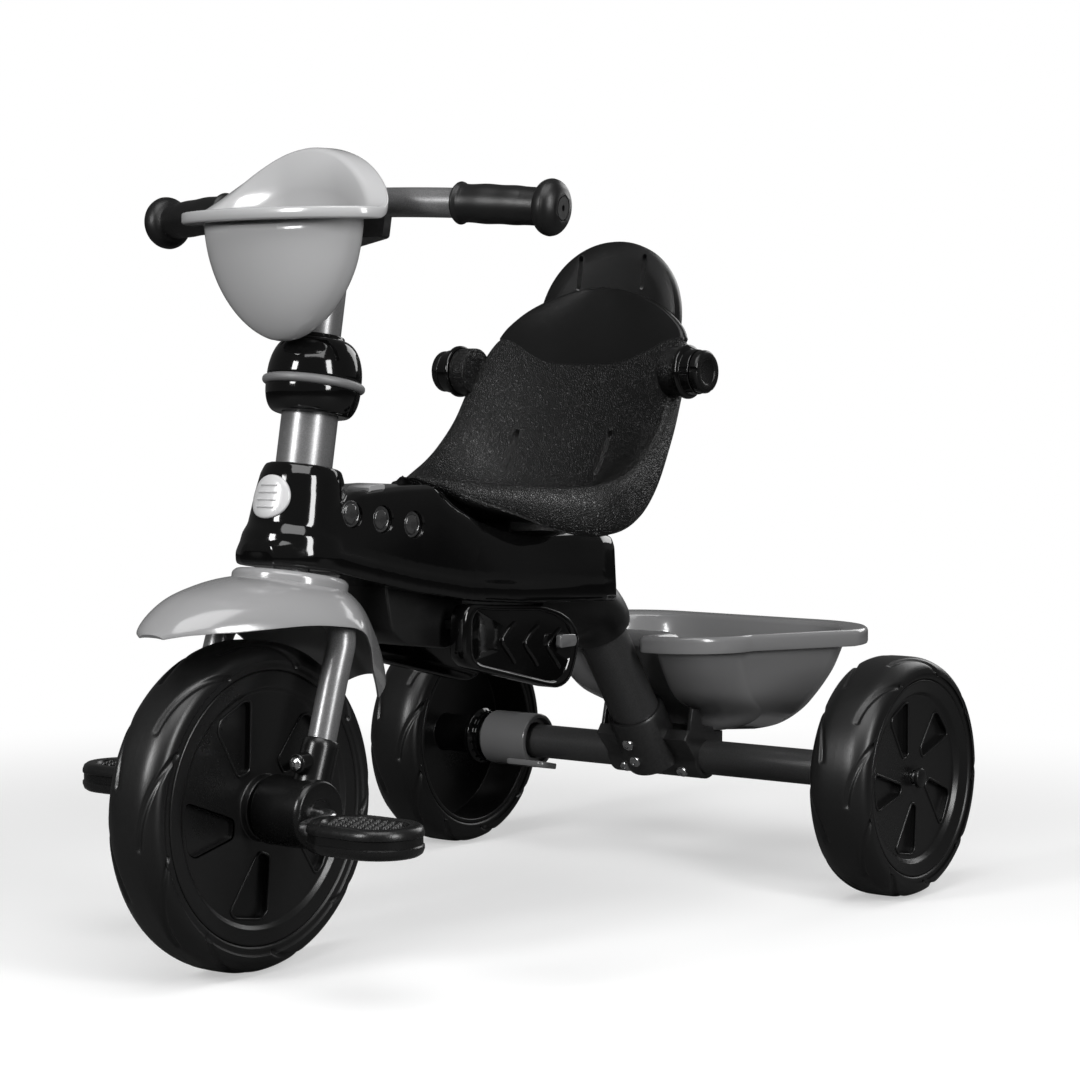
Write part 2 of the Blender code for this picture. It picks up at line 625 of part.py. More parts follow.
def basket_level(share):
    """Half width, depth and height at a share of the way from floor to rim."""
    belly = (1.0 - (1.0 - share) ** 2.0) ** 0.80
    half = BASKET_FLOOR_HALF + (BASKET_TUB_HALF - BASKET_FLOOR_HALF) * belly
    depth = BASKET_FLOOR_DEPTH + (BASKET_TUB_DEPTH - BASKET_FLOOR_DEPTH) * belly
    return half, depth, BASKET_BOTTOM_Z + (BASKET_Z - BASKET_BOTTOM_Z) * share


BASKET_MIDDLE_Y = -0.498
basket_rings = []
for share in (0.0, 0.06, 0.18, 0.38, 0.65, 0.93):
    half, depth, z = basket_level(share)
    back = stem_front(z) - BASKET_BACK_GAP
    lift = BASKET_BACK_RISE * max(0.0, share - 0.6) / 0.4
    basket_rings.append(basket_ring(half, depth, BASKET_MIDDLE_Y - depth / 2, z, back, lift))
rim_back = stem_front(BASKET_Z + BASKET_BACK_RISE) + 0.0005
rim_depth = BASKET_DEPTH
rim_front = BASKET_MIDDLE_Y - rim_depth / 2
basket_rings.append(basket_ring(BASKET_HALF - 0.004, rim_depth - 0.008, rim_front + 0.004, BASKET_Z - 0.0035, rim_back - 0.001,
                                BASKET_BACK_RISE))
basket_rings.append(basket_ring(BASKET_HALF, rim_depth, rim_front, BASKET_Z, rim_back, BASKET_BACK_RISE))
basket_rings.append(basket_ring(BASKET_HALF - 0.003, rim_depth - 0.006, rim_front + 0.003, BASKET_Z + 0.0035, rim_back - 0.001,
                                BASKET_BACK_RISE))
for share in (0.93, 0.65, 0.38, 0.18, 0.06):
    half, depth, z = basket_level(share)
    back = stem_front(z) - BASKET_BACK_GAP - BASKET_WALL
    lift = BASKET_BACK_RISE * max(0.0, share - 0.6) / 0.4
    basket_rings.append(basket_ring(half - BASKET_WALL, depth - 2 * BASKET_WALL, BASKET_MIDDLE_Y - depth / 2 + BASKET_WALL,
                                    z + BASKET_WALL * 0.6, back, lift))
basket = add_object("basket", rings_to_shape(basket_rings), light_grey, smooth=50)

BRACKET_TALL = 0.018
BRACKET_LOW_Z = 0.531
bracket_back = STEM_R + BASKET_BACK_GAP * math.cos(HEAD_LEAN) - GAP
bracket_plate = [(-0.068, 0.0), (0.068, 0.0), (0.068, 0.008), (0.024, 0.030), (-0.024, 0.030), (-0.068, 0.008)]
bracket_at = HEAD_ORIGIN + Matrix.Rotation(-HEAD_LEAN, 3, "X") @ Vector((0, -bracket_back, along_head(BRACKET_LOW_Z)))
basket_bracket = slab("basket_bracket", bracket_plate, BRACKET_TALL, satin_black, location=bracket_at, rotation=HEAD_TURN)
boolean(basket_bracket, disc("bracket_stem_bore", STEM_R + GAP, along_head(0.50), along_head(0.60), None, **head))
boolean(basket_bracket, tube("bracket_bar_clear", bar_path[2:7], BAR_R + GAP, None, segments=12))

# ---- Fork, its ends and the fender -----------------------------------------
crown = place(*steering_point(FORK_CROWN_Z))


def leg_points(sign):
    x = sign * FORK_LEG_X
    return [Vector((x, crown.y, FORK_CROWN_Z)), place(x, -0.5135, 0.214), place(x, -0.5265, FORK_SLEEVE_TOP_Z),
            place(x, -0.5385, 0.140)]


left_leg = leg_points(1)
right_leg = leg_points(-1)
fork_path = bent([left_leg[3], left_leg[2], left_leg[1], left_leg[0], right_leg[0], right_leg[1], right_leg[2],
                  right_leg[3]], 0.028, 2)
fork_tube = tube("fork_tube", fork_path, FORK_LEG_R, tube_grey, bore=FORK_LEG_R - FORK_LEG_WALL, segments=12)
boolean(steerer, tube("crown_notch", [crown + Vector((-0.03, 0, 0)), crown + Vector((0.03, 0, 0))], FORK_LEG_R + GAP, None,
                      segments=12))

front_axle = dict(location=place(0, -WHEELBASE, FRONT_AXLE_Z), rotation=SIDEWAYS)
fork_parts = [fork_tube]
for side, sign, leg in (("left", 1, left_leg), ("right", -1, right_leg)):
    low, high = sorted((sign * FORK_END_IN, sign * FORK_END_OUT))
    fork_end = disc("fork_end_" + side, FORK_END_R, low, high, satin_black, edge=0.002, segments=20, **front_axle)
    way = (leg[2] - leg[3]).normalized()
    low_way = leg[3] - way * 0.012
    boolean(fork_end, tube("fork_sleeve_" + side, [leg[2] - way * 0.0005, low_way], FORK_SLEEVE_R, None, segments=14), "UNION")
    boss_at = leg[3] + way * 0.019
    boss = disc("fork_boss_" + side, 0.0072, 0.004, FORK_BOSS_REACH, None, segments=10,
                location=boss_at, rotation=(math.pi / 2, 0, 0))
    boolean(fork_end, boss, "UNION")
    boolean(fork_end, tube("leg_bore_" + side, [leg[2] + way * 0.01, leg[3] - way * GAP * 2],
                           clear_of(FORK_LEG_R + GAP, 12), None, segments=12))
    boolean(fork_end, disc("crank_bore_" + side, clear_of(CRANK_R + RUNNING_GAP, 12), low - 0.01, high + 0.01, None, segments=12,
                           **front_axle))
    fork_bolt = bolt("fork_end_bolt_" + side, boss_at - Vector((0, FORK_BOSS_REACH, 0)), (0, -1, 0))
    fork_parts += [fork_end, fork_bolt]

# Fender stations: angle about the front axle from straight ahead, then the
# crown radius, the edge radius and the half width there.
FENDER_WALL = 0.003
FENDER = [(54, 0.1635, 0.1595, 0.012), (57, 0.1645, 0.1565, 0.023), (62, 0.166, 0.150, 0.034), (70, 0.167, 0.1415, 0.046),
          (82, 0.166, 0.1360, 0.059), (98, 0.169, 0.135, 0.071), (110, 0.175, 0.137, 0.073),
          (119, 0.178, 0.1340, 0.066), (132, 0.1755, 0.128, 0.052), (150.5, 0.1725, 0.141, 0.026)]
axle_at = place(0, -WHEELBASE, FRONT_AXLE_Z)


def fender_ring(angle, crown_r, edge_r, half, steps=8):
    """Arched cross-section under and over, in the plane at an angle round the axle."""
    out = Vector((0, -math.cos(math.radians(angle)), math.sin(math.radians(angle))))
    ring = []
    for wall, order in ((0.0, 1), (FENDER_WALL, -1)):
        row = []
        for i in range(steps + 1):
            share = 2.0 * i / steps - 1.0
            reach = (1.0 - abs(share) ** 2.4) ** 0.75
            radius = edge_r + (crown_r - wall - edge_r) * reach
            row.append(axle_at + out * radius + Vector((share * (half - wall), 0, 0)))
        ring += row[::order]
    return ring


fender = add_object("front_fender", rings_to_shape([fender_ring(*station) for station in FENDER]), mid_grey, smooth=50)
boss_low = crown_low + GAP
plate_low = along_head(0.2755)
plate_high = along_head(0.287)
crown_profile = [(0.0, boss_low), (0.019, boss_low), (0.019, plate_low), (0.0435, plate_low), (0.0435, plate_high - 0.003),
                 (0.0405, plate_high), (0.0, plate_high)]
boolean(fender, turned("fender_crown", crown_profile, None, 24, **head), "UNION")
boolean(fender, disc("fender_bore", STEERER_R + GAP, along_head(0.25), along_head(0.30), None, **head))
hold(steering, steerer, stem, handlebar, basket, basket_bracket, ball_upper, fender, *grips, *fork_parts)


# ---- Wheels ----------------------------------------------------------------
def tyre_profile(radius, width, seat):
    half = width / 2
    side = [(seat, half * 0.94), (radius - 0.013, half), (radius - 0.005, half * 0.88), (radius, half * 0.45)]
    return [(r, -h) for r, h in side] + [(r, h) for r, h in side[::-1]]


def window_outline(inner, outer):
    """Pinwheel window: a leaning, blunt-cornered blade between two radii."""
    corners = [(inner, -8.0), (inner + (outer - inner) * 0.18, -16.0), (outer * 0.97, -27.0), (outer, -22.0),
               (outer * 0.985, -2.0), (outer * 0.93, 2.5), (inner + (outer - inner) * 0.1, 11.0)]
    return [(r * math.cos(math.radians(a)), r * math.sin(math.radians(a))) for r, a in corners]


def cut_windows(rim, inner, outer, low, high, tag, **where):
    shape = bmesh.new()
    for number in range(WHEEL_WINDOWS):
        turn = Matrix.Rotation(2 * math.pi * number / WHEEL_WINDOWS, 3, "Z")
        points = [turn @ Vector((x, y, low)) for x, y in window_outline(inner, outer)]
        face = shape.faces.new([shape.verts.new(p) for p in points])
        out = bmesh.ops.extrude_face_region(shape, geom=[face])["geom"]
        bmesh.ops.translate(shape, vec=(0, 0, high - low), verts=[v for v in out if isinstance(v, bmesh.types.BMVert)])
    boolean(rim, add_object("windows_" + tag, shape, None, **where))


FRONT_SEGMENTS = 28
REAR_SEGMENTS = 24
front_half = FRONT_TYRE_WIDTH / 2
front_wheel = pivot("front_wheel_axis", place(0, -WHEELBASE, FRONT_AXLE_Z))
front_tyre = turned("front_tyre", tyre_profile(FRONT_WHEEL_R, FRONT_TYRE_WIDTH, FRONT_RIM_R), tread_black, FRONT_SEGMENTS, **front_axle)
face_x = front_half * 0.93
wheel_parts = [front_tyre]
for side, sign in (("left", 1), ("right", -1)):
    rim_r = FRONT_RIM_R - GAP
    profile = [(CRANK_R + GAP, GAP), (0.014, GAP), (0.014, face_x - 0.007), (rim_r - RIM_WALL, face_x - 0.007),
               (rim_r - RIM_WALL, GAP), (rim_r, GAP), (rim_r, face_x), (FRONT_DISH_R, face_x - 0.0005),
               (FRONT_DISH_R - 0.002, face_x - 0.0035), (FORK_END_R + 0.002, face_x - 0.0005),
               (FORK_END_R - 0.001, face_x + 0.002), (CRANK_R + GAP, face_x + 0.002)]
    profile = [(r, sign * h) for r, h in profile]
    half_rim = turned("front_rim_" + side, profile if sign > 0 else profile[::-1], satin_black, FRONT_SEGMENTS, **front_axle)
    low, high = sorted((sign * (face_x - 0.012), sign * (face_x + 0.006)))
    cut_windows(half_rim, 0.0315, FRONT_DISH_R * 0.955, low, high, "front_" + side, **front_axle)
    wheel_parts.append(half_rim)

crank_way = Vector((0, -math.cos(CRANK_ANGLE), -math.sin(CRANK_ANGLE)))
throw = crank_way * CRANK_THROW
pedal_out = PEDAL_IN_X + PEDAL_LENGTH + 0.002
crank_corners = [axle_at + Vector((-pedal_out, 0, 0)) - throw, axle_at + Vector((-CRANK_OUT_X, 0, 0)) - throw,
                 axle_at + Vector((-CRANK_OUT_X, 0, 0)), axle_at + Vector((CRANK_OUT_X, 0, 0)),
                 axle_at + Vector((CRANK_OUT_X, 0, 0)) + throw, axle_at + Vector((pedal_out, 0, 0)) + throw]
crank = tube("crank_axle", bent(crank_corners, 0.009, 2), CRANK_R, bright_steel, segments=10)
wheel_parts.append(crank)
hold(front_wheel, *wheel_parts)
hold(steering, front_wheel)


def stadium(half_length, half_width, steps=6):
    reach = half_length - half_width
    return arc(reach, 0, half_width, -90, 90, steps) + arc(-reach, 0, half_width, 90, 270, steps)


for side, sign in (("left", 1), ("right", -1)):
    centre = axle_at + Vector((sign * (PEDAL_IN_X + PEDAL_LENGTH / 2), 0, 0)) + throw * sign
    spindle = pivot("pedal_axis_" + side, centre)
    pedal = slab("pedal_" + side, stadium(PEDAL_LENGTH / 2, PEDAL_WIDTH / 2), PEDAL_THICK, satin_black,
                 location=centre - Vector((0, 0, PEDAL_THICK / 2)))
    rounded(pedal, 0.004, 1, 60)
    bore = disc("pedal_bore_" + side, clear_of(CRANK_R + RUNNING_GAP, 12), -0.06, 0.06, None, segments=12, location=centre,
                rotation=SIDEWAYS)
    boolean(pedal, bore)
    hold(spindle, pedal)
    hold(front_wheel, spindle)

rear_hubs = {}
for side, sign in (("left", 1), ("right", -1)):
    spot = dict(location=place(sign * REAR_WHEEL_X, 0, REAR_AXLE_Z), rotation=(0, sign * math.pi / 2, 0))
    hub = pivot("rear_axis_" + side, spot["location"])
    rear_hubs[side] = hub
    tyre = turned("rear_tyre_" + side, tyre_profile(REAR_WHEEL_R, REAR_TYRE_WIDTH, REAR_RIM_R), tread_black,
                  REAR_SEGMENTS, **spot)
    rim_r = REAR_RIM_R - GAP
    out = REAR_FACE
    inner = AXLE_TUBE_HALF + RUNNING_GAP - REAR_WHEEL_X
    rod_gap = AXLE_ROD_R + RUNNING_GAP
    rim = turned("rear_rim_" + side,
                 [(rod_gap, inner), (REAR_HUB_R, inner), (REAR_HUB_R, out - 0.0115), (rim_r - RIM_WALL, out - 0.0105),
                  (rim_r - RIM_WALL, -out), (rim_r, -out), (rim_r, out), (REAR_DISH_R, out - 0.004),
                  (REAR_DISH_R - 0.002, out - 0.0075), (0.024, out - 0.0065), (0.020, out - 0.003),
                  (rod_gap, out - 0.003)],
                 satin_black, REAR_SEGMENTS, **spot)
    cut_windows(rim, 0.0215, REAR_DISH_R * 0.95, out - 0.02, out + 0.01, "rear_" + side, **spot)
    cap_seat = out - 0.003 + GAP
    cap = turned("axle_cap_" + side, [(AXLE_ROD_R + GAP, cap_seat), (0.0085, cap_seat), (0.0078, out + 0.0005),
                                      (0.005, out + 0.0018), (0.0, out + 0.0022), (0.0, out - CAP_DEEP),
                                      (AXLE_ROD_R + GAP, out - CAP_DEEP)], bright_steel, 16, **spot)
    hold(hub, tyre, rim, cap)


# ---- Brake on the rear axle ------------------------------------------------
BRAKE_R = 0.0245
BRAKE_IN_X = -0.137
BRAKE_OUT_X = -0.187
brake_axis = pivot("brake_axis", place(0, 0, REAR_AXLE_Z))
brake_bore = AXLE_TUBE_R + RUNNING_GAP
ring_bore = clear_of(REAR_HUB_R + GAP, 16)
brake_ring = turned("brake_ring", [(ring_bore, -0.2045), (0.0245, -0.2045), (0.0255, -0.2025), (0.0255, -0.1995),
                      (0.0225, -0.1965), (0.0225, -0.193), (ring_bore, -0.193)], gloss_black, 16, **axle)
hold(rear_hubs["right"], brake_ring)
brake_lever = turned("brake_lever", [(brake_bore, BRAKE_OUT_X), (BRAKE_R, BRAKE_OUT_X), (BRAKE_R, BRAKE_IN_X),
                                     (BRAKE_R - 0.004, BRAKE_IN_X + 0.001), (BRAKE_R - 0.0045, BRAKE_IN_X - 0.004),
                                     (brake_bore, BRAKE_IN_X - 0.004)], mid_grey, 16, **axle)
tab_outline = [(-0.150, -0.012), (-0.092, -0.012), (-0.086, -0.006), (-0.086, 0.010), (-0.092, 0.013), (-0.150, 0.013)]
tab = slab("brake_tab", tab_outline, 0.005, None, location=place(0, -0.0215, REAR_AXLE_Z - 0.0205),
           rotation=(math.radians(-12), 0, 0))
boolean(brake_lever, tab, "UNION")
boolean(brake_lever, disc("brake_tab_clear", clear_of(brake_bore, 16), -0.20, -0.07, None, segments=16, **axle))
hold(brake_axis, brake_lever)

# ---- Seat ------------------------------------------------------------------
# Stations from the front lip to the top of the back: the rim's half width, y
# and z, then the middle's y and z.
SEAT = [(0.010, -0.352, 0.3555, -0.356, 0.3545), (0.036, -0.325, 0.3515, -0.342, 0.345), (0.062, -0.294, 0.348, -0.318, 0.333),
        (0.088, -0.262, 0.3455, -0.285, 0.325), (0.105, -0.238, 0.347, -0.255, 0.322), (0.1115, -0.220, 0.352, -0.225, 0.322),
        (SEAT_HALF, -0.200, 0.361, -0.198, 0.327), (SEAT_HALF - 0.0005, -0.180, 0.375, -0.178, 0.339), (0.111, -0.160, 0.396, -0.162, 0.359),
        (0.108, -0.142, 0.426, -0.147, 0.388), (0.103, -0.123, 0.452, -0.133, 0.418), (0.098, -0.115, 0.463, -0.123, 0.441)]
BACK = [(0.097, -0.1135, 0.4645, -0.1225, 0.4425), (0.090, -0.1095, 0.4745, -0.112, 0.464), (0.072, -0.105, 0.488, -0.104, 0.482),
        (0.048, -0.100, 0.499, -0.099, 0.495), (0.022, -0.096, 0.506, -0.0955, 0.505)]


def seat_grid(stations, wall, side_wall, aprons=None, across=10):
    """Bowl-shaped double skin, thicker towards its sides, closed on its edge.

    An apron is how far the side's underside hangs lower at a station.
    """
    faces_up = []
    for half, edge_y, edge_z, mid_y, mid_z in stations:
        row = []
        for i in range(across + 1):
            share = 2.0 * i / across - 1.0
            share = math.copysign(abs(share) ** 0.85, share)
            rise = abs(share) ** 2.3
            row.append(place(half * share, mid_y + (edge_y - mid_y) * rise, mid_z + (edge_z - mid_z) * rise))
        faces_up.append(row)
    shape = bmesh.new()
    verts = [[shape.verts.new(point) for point in row] for row in faces_up]
    for low, high in zip(verts, verts[1:]):
        for i in range(across):
            shape.faces.new((low[i], low[i + 1], high[i + 1], high[i]))
    shape.normal_update()
    below = []
    for row, apron in zip(verts, aprons or [0.0] * len(verts)):
        under_row = []
        for i, vert in enumerate(row):
            share = abs(2.0 * i / across - 1.0)
            thick = between(share, [(0.0, wall), (0.4, wall), (0.8, side_wall), (1.0, side_wall)])
            hang = apron * between(share, [(0.4, 0.0), (0.8, 1.0), (1.0, 1.0)])
            under_row.append(shape.verts.new(vert.co - vert.normal * thick - Vector((0, 0, hang))))
        below.append(under_row)
    for low, high in zip(below, below[1:]):
        for i in range(across):
            shape.faces.new((low[i + 1], low[i], high[i], high[i + 1]))
    edge = [row[-1] for row in verts] + verts[-1][-2::-1] + [row[0] for row in verts[-2::-1]] + verts[0][1:-1]
    under = [row[-1] for row in below] + below[-1][-2::-1] + [row[0] for row in below[-2::-1]] + below[0][1:-1]
    for a, b, c, d in zip(edge, edge[1:] + edge[:1], under[1:] + under[:1], under):
        shape.faces.new((a, b, c, d))
    return shape


SEAT_APRONS = [0.0, 0.004, 0.009, 0.014, 0.017, 0.018, 0.017, 0.013, 0.007, 0.002, 0.0, 0.0]
seat_shell = add_object("seat_shell", seat_grid(SEAT, SEAT_WALL, SEAT_SIDE_WALL, SEAT_APRONS), satin_black, smooth=60)
foot_shape = [(SEAT_FOOT_FRONT_Y, between(SEAT_FOOT_FRONT_Y, BODY_DECK) + GAP - REAR_AXLE_Z),
              (SEAT_FOOT_REAR_Y, between(SEAT_FOOT_REAR_Y, BODY_DECK) + GAP - REAR_AXLE_Z),
              (SEAT_FOOT_REAR_Y, 0.321 - REAR_AXLE_Z), (SEAT_FOOT_FRONT_Y, 0.319 - REAR_AXLE_Z)]
boolean(seat_shell, side_slab("seat_foot", foot_shape, -SEAT_FOOT_HALF, SEAT_FOOT_HALF, None), "UNION")
for sign in (1, -1):
    boss = disc("seat_boss_%d" % sign, 0.0205, *sorted((sign * 0.094, sign * (SOCKET_X - 0.004))), None, segments=16,
                location=place(0, SOCKET_Y, SOCKET_Z), rotation=SIDEWAYS)
    boolean(seat_shell, boss, "UNION")
back_panel = add_object("back_panel", seat_grid(BACK, 0.009, 0.009), satin_black, smooth=60)
HEADREST_TILT = math.radians(12)
HEADREST_Y = -0.0825        # foot of its rear face
HEADREST_Z = 0.449
HEADREST_THICK = 0.014
head_outline = [(-0.064, 0.0), (0.064, 0.0)] + [(0.072 * math.cos(t), 0.022 + 0.076 * math.sin(t) ** 0.9)
                                                for t in np.linspace(0.02, math.pi - 0.02, 11)]
headrest = slab("headrest", head_outline, HEADREST_THICK, satin_black, location=place(0, HEADREST_Y, HEADREST_Z),
                rotation=(math.pi / 2 - HEADREST_TILT, 0, 0))
rounded(headrest, 0.005, 1, 50)

for side, sign in (("left", 1), ("right", -1)):
    spot = dict(location=place(0, SOCKET_Y, SOCKET_Z), rotation=(0, sign * math.pi / 2, 0))
    turned("socket_" + side, [(0.0, SOCKET_X - 0.004 + GAP), (SOCKET_R - 0.001, SOCKET_X - 0.004 + GAP), (SOCKET_R, SOCKET_X - 0.003),
                              (SOCKET_R, SOCKET_X), (SOCKET_R - 0.003, SOCKET_X + 0.001), (0.0185, SOCKET_X + 0.001),
                              (0.0182, KNOB_X - 0.008), (0.0, KNOB_X - 0.008)], gloss_black, 20, **spot)
    knob = turned("knob_" + side, [(0.0, KNOB_X - 0.008 + GAP), (KNOB_R + 0.001, KNOB_X - 0.008 + GAP), (KNOB_R + 0.001, KNOB_X - 0.002),
                                   (KNOB_R - 0.001, KNOB_X), (0.0, KNOB_X)], gloss_black, 20, **spot)
    notch = slab("knob_notch_" + side, [(-0.003, 0.0135), (0.003, 0.0135), (0.003, 0.02), (-0.003, 0.02)], 0.02, None,
                 location=spot["location"] + Vector((sign * (KNOB_X - 0.004), 0, 0)), rotation=spot["rotation"])
    boolean(knob, notch)
    hold(pivot("knob_axis_" + side, spot["location"]), knob)

# ---- Rear bucket -----------------------------------------------------------
# Levels: z, front y, rear y, half width at the front and rear, corner radius,
# then how far back the recess for the frame tube reaches and its half width.
RIM_REAR_Y = BUCKET_FRONT_Y + BUCKET_LENGTH
LEVELS = [(BUCKET_BOTTOM_Z, 0.0125, 0.072, 0.048, 0.066, 0.026, 0.0205, 0.0265),
          (0.1265, 0.0100, 0.088, 0.064, 0.085, 0.040, 0.0180, 0.0275),
          (0.138, 0.001, 0.102, 0.077, 0.101, 0.048, 0.0090, 0.0290),
          (0.154, -0.034, 0.113, 0.086, 0.115, 0.058, -0.008, 0.0330),
          (0.174, -0.056, 0.123, 0.092, 0.127, 0.064, -0.021, 0.0370),
          (0.193, -0.071, 0.129, 0.096, 0.135, 0.069, -0.034, 0.0400)]
RIM_LEVEL = (BUCKET_RIM_Z, BUCKET_FRONT_Y, RIM_REAR_Y, 0.106, BUCKET_HALF, 0.074, -0.045, 0.0310)
SKIRT_DEEP = 0.0145         # the rim folds over and hangs down this far


def bucket_ring(z, front, rear, half_front, half_rear, corner, recess, recess_half, arc_steps=4):
    """Closed tub outline at one level, with the recess at its front middle."""
    right = [(0.0, recess), (recess_half - 0.006, recess), (recess_half, recess - 0.004), (recess_half, front + 0.003),
             (recess_half + 0.003, front)]
    corner_front = min(corner, half_front - recess_half - 0.006)
    right += arc(half_front - corner_front, front + corner_front, corner_front, -90, 0, arc_steps)
    right += arc(half_rear - corner, rear - corner, corner, 0, 90, arc_steps)
    right.append((0.0, rear))
    left = [(-x, y) for x, y in right[-2:0:-1]]
    return [place(x, y, z) for x, y in right + left]


def grown(level, out, up=0.0):
    z, front, rear, half_front, half_rear, corner, recess, recess_half = level
    return (z + up, front - out, rear + out, half_front + out, half_rear + out, corner + out * 0.8, recess - out,
            recess_half - out)


top = LEVELS[-1]
bucket_levels = LEVELS + [grown(top, 0.003, SKIRT_DEEP), grown(RIM_LEVEL, -BUCKET_WALL, -0.0035),
                          grown(RIM_LEVEL, -BUCKET_WALL, -SKIRT_DEEP), grown(RIM_LEVEL, 0.0, -SKIRT_DEEP),
                          grown(RIM_LEVEL, 0.0, -0.002), grown(RIM_LEVEL, -0.002), grown(top, 0.0, 0.0185)]
inside = [grown(level, -BUCKET_WALL) for level in LEVELS[1:]]
floor = grown(LEVELS[0], -BUCKET_WALL, BUCKET_WALL)
bucket_rings = [bucket_ring(*level) for level in bucket_levels + inside[::-1] + [floor]]
bucket = add_object("rear_bucket", rings_to_shape(bucket_rings), mid_grey, smooth=50)

# ---- Footrests and the bracket that carries them ---------------------------
CLAMP_FRONT_Y = -0.392
CLAMP_REAR_Y = -0.318
CLAMP_HALF = 0.026
clamp_outline = [(CLAMP_FRONT_Y - 0.024, 0.288), (CLAMP_FRONT_Y - 0.014, 0.240), (CLAMP_FRONT_Y + 0.003, 0.2275),
                 (CLAMP_REAR_Y - 0.020, 0.2205), (CLAMP_REAR_Y - 0.003, 0.2265), (CLAMP_REAR_Y, 0.236),
                 (CLAMP_REAR_Y, 0.272)]
clamp_shape = [(y, z - REAR_AXLE_Z) for y, z in clamp_outline]
footrest_bracket = side_slab("footrest_bracket", clamp_shape, -CLAMP_HALF, CLAMP_HALF, satin_black)
rounded(footrest_bracket, 0.003, 1, 30)
PIN_R = 0.003
HINGE_Z = 0.240
HINGE_X = PAD_X + PAD_THICK / 2
ARM_FRONT_Y = PAD_FRONT_Y + 0.010
ARM_LONG = 0.012
ARM_HALF = 0.008            # half the arm's height, about the hinge
PIN_FRONT_Y = PAD_FRONT_Y + 0.005
PIN_LONG = 0.060
arm_rear_y = ARM_FRONT_Y + ARM_LONG
hinge_up = HINGE_Z - REAR_AXLE_Z
for sign in (1, -1):
    low, high = sorted((sign * (CLAMP_HALF - 0.006), sign * (HINGE_X + ARM_HALF)))
    arm_shape = [(ARM_FRONT_Y, hinge_up - ARM_HALF), (arm_rear_y, hinge_up - ARM_HALF),
                 (arm_rear_y, hinge_up + ARM_HALF), (ARM_FRONT_Y, hinge_up + ARM_HALF)]
    boolean(footrest_bracket, side_slab("footrest_arm_%d" % sign, arm_shape, low, high, None), "UNION")
    pin_hole = disc("hinge_hole_%d" % sign, PIN_R + GAP, -0.2, 0.2, None, segments=12,
                    location=place(sign * HINGE_X, ARM_FRONT_Y, HINGE_Z), rotation=(math.pi / 2, 0, 0))
    boolean(footrest_bracket, pin_hole)
boolean(footrest_bracket, tube("clamp_bore", [frame_front - slope_way * 0.02, bend_point + slope_way * 0.01], frame_clear,
                               None, segments=FRAME_SEGMENTS))
boolean(footrest_bracket, disc("clamp_head_clear", HEAD_TUBE_R + 0.002, along_head(0.24), along_head(0.32), None, **head))

# The side view of a pad, (y, z), its top edge just under the body's skirt.
PAD_SHAPE = [(PAD_FRONT_Y, 0.216), (PAD_FRONT_Y, 0.248), (PAD_FRONT_Y + 0.008, 0.2575), (-0.312, 0.2545), (-0.250, 0.2500),
             (-0.225, 0.2435), (-0.209, 0.235), (PAD_REAR_Y, 0.222), (-0.203, 0.205), (-0.212, 0.187),
             (-0.226, 0.1815), (-0.240, 0.1835), (PAD_FRONT_Y + 0.010, 0.2075)]
RECESS_SHARE = 0.84
pad_middle = (sum(y for y, z in PAD_SHAPE) / len(PAD_SHAPE), sum(z for y, z in PAD_SHAPE) / len(PAD_SHAPE))
PAD_TREAD_DEEP = 0.0025
for side, sign in (("left", 1), ("right", -1)):
    fold = pivot("footrest_axis_" + side, place(sign * HINGE_X, ARM_FRONT_Y, HINGE_Z))
    low, high = sorted((sign * PAD_X, sign * (PAD_X + PAD_THICK)))
    pad = side_slab("footrest_" + side, [(y, z - REAR_AXLE_Z) for y, z in PAD_SHAPE], low, high, gloss_black)
    rounded(pad, 0.003, 1, 50)
    tread = [(pad_middle[0] + (y - pad_middle[0]) * RECESS_SHARE, pad_middle[1] + (z - pad_middle[1]) * RECESS_SHARE
              - REAR_AXLE_Z) for y, z in PAD_SHAPE]
    tread = [(max(y, arm_rear_y + 0.008), z) for y, z in tread]
    low, high = sorted((sign * (PAD_X + PAD_THICK - PAD_TREAD_DEEP), sign * (PAD_X + PAD_THICK + 0.01)))
    boolean(pad, side_slab("footrest_tread_" + side, tread, low, high, None))
    slot_reach = ARM_HALF * math.sqrt(2) + RUNNING_GAP
    slot = [(ARM_FRONT_Y - RUNNING_GAP, hinge_up - slot_reach), (arm_rear_y + RUNNING_GAP, hinge_up - slot_reach),
            (arm_rear_y + RUNNING_GAP, hinge_up + 0.03), (ARM_FRONT_Y - RUNNING_GAP, hinge_up + 0.03)]
    low, high = sorted((sign * (PAD_X - 0.01), sign * (PAD_X + PAD_THICK + 0.01)))
    boolean(pad, side_slab("footrest_slot_" + side, slot, low, high, None))
    boolean(pad, disc("pad_pin_hole_" + side, clear_of(PIN_R + RUNNING_GAP, 12), -0.003, PIN_LONG + 0.003, None, segments=12,
                      location=place(sign * HINGE_X, PIN_FRONT_Y + PIN_LONG, HINGE_Z), rotation=(math.pi / 2, 0, 0)))
    disc("footrest_pin_" + side, PIN_R, 0.0, PIN_LONG, bright_steel, segments=12,
         location=place(sign * HINGE_X, PIN_FRONT_Y + PIN_LONG, HINGE_Z), rotation=(math.pi / 2, 0, 0))
    hold(fold, pad)
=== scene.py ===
"""A child's pedal tricycle: moulded black and grey plastic on painted steel tube.

Metres, +Z up. The trike faces -Y, and the rider's left hand is on +X. Lengths
along it are measured from the rear axle.
"""

import json
import math

import bmesh
import bpy
import numpy as np
from mathutils import Matrix, Vector


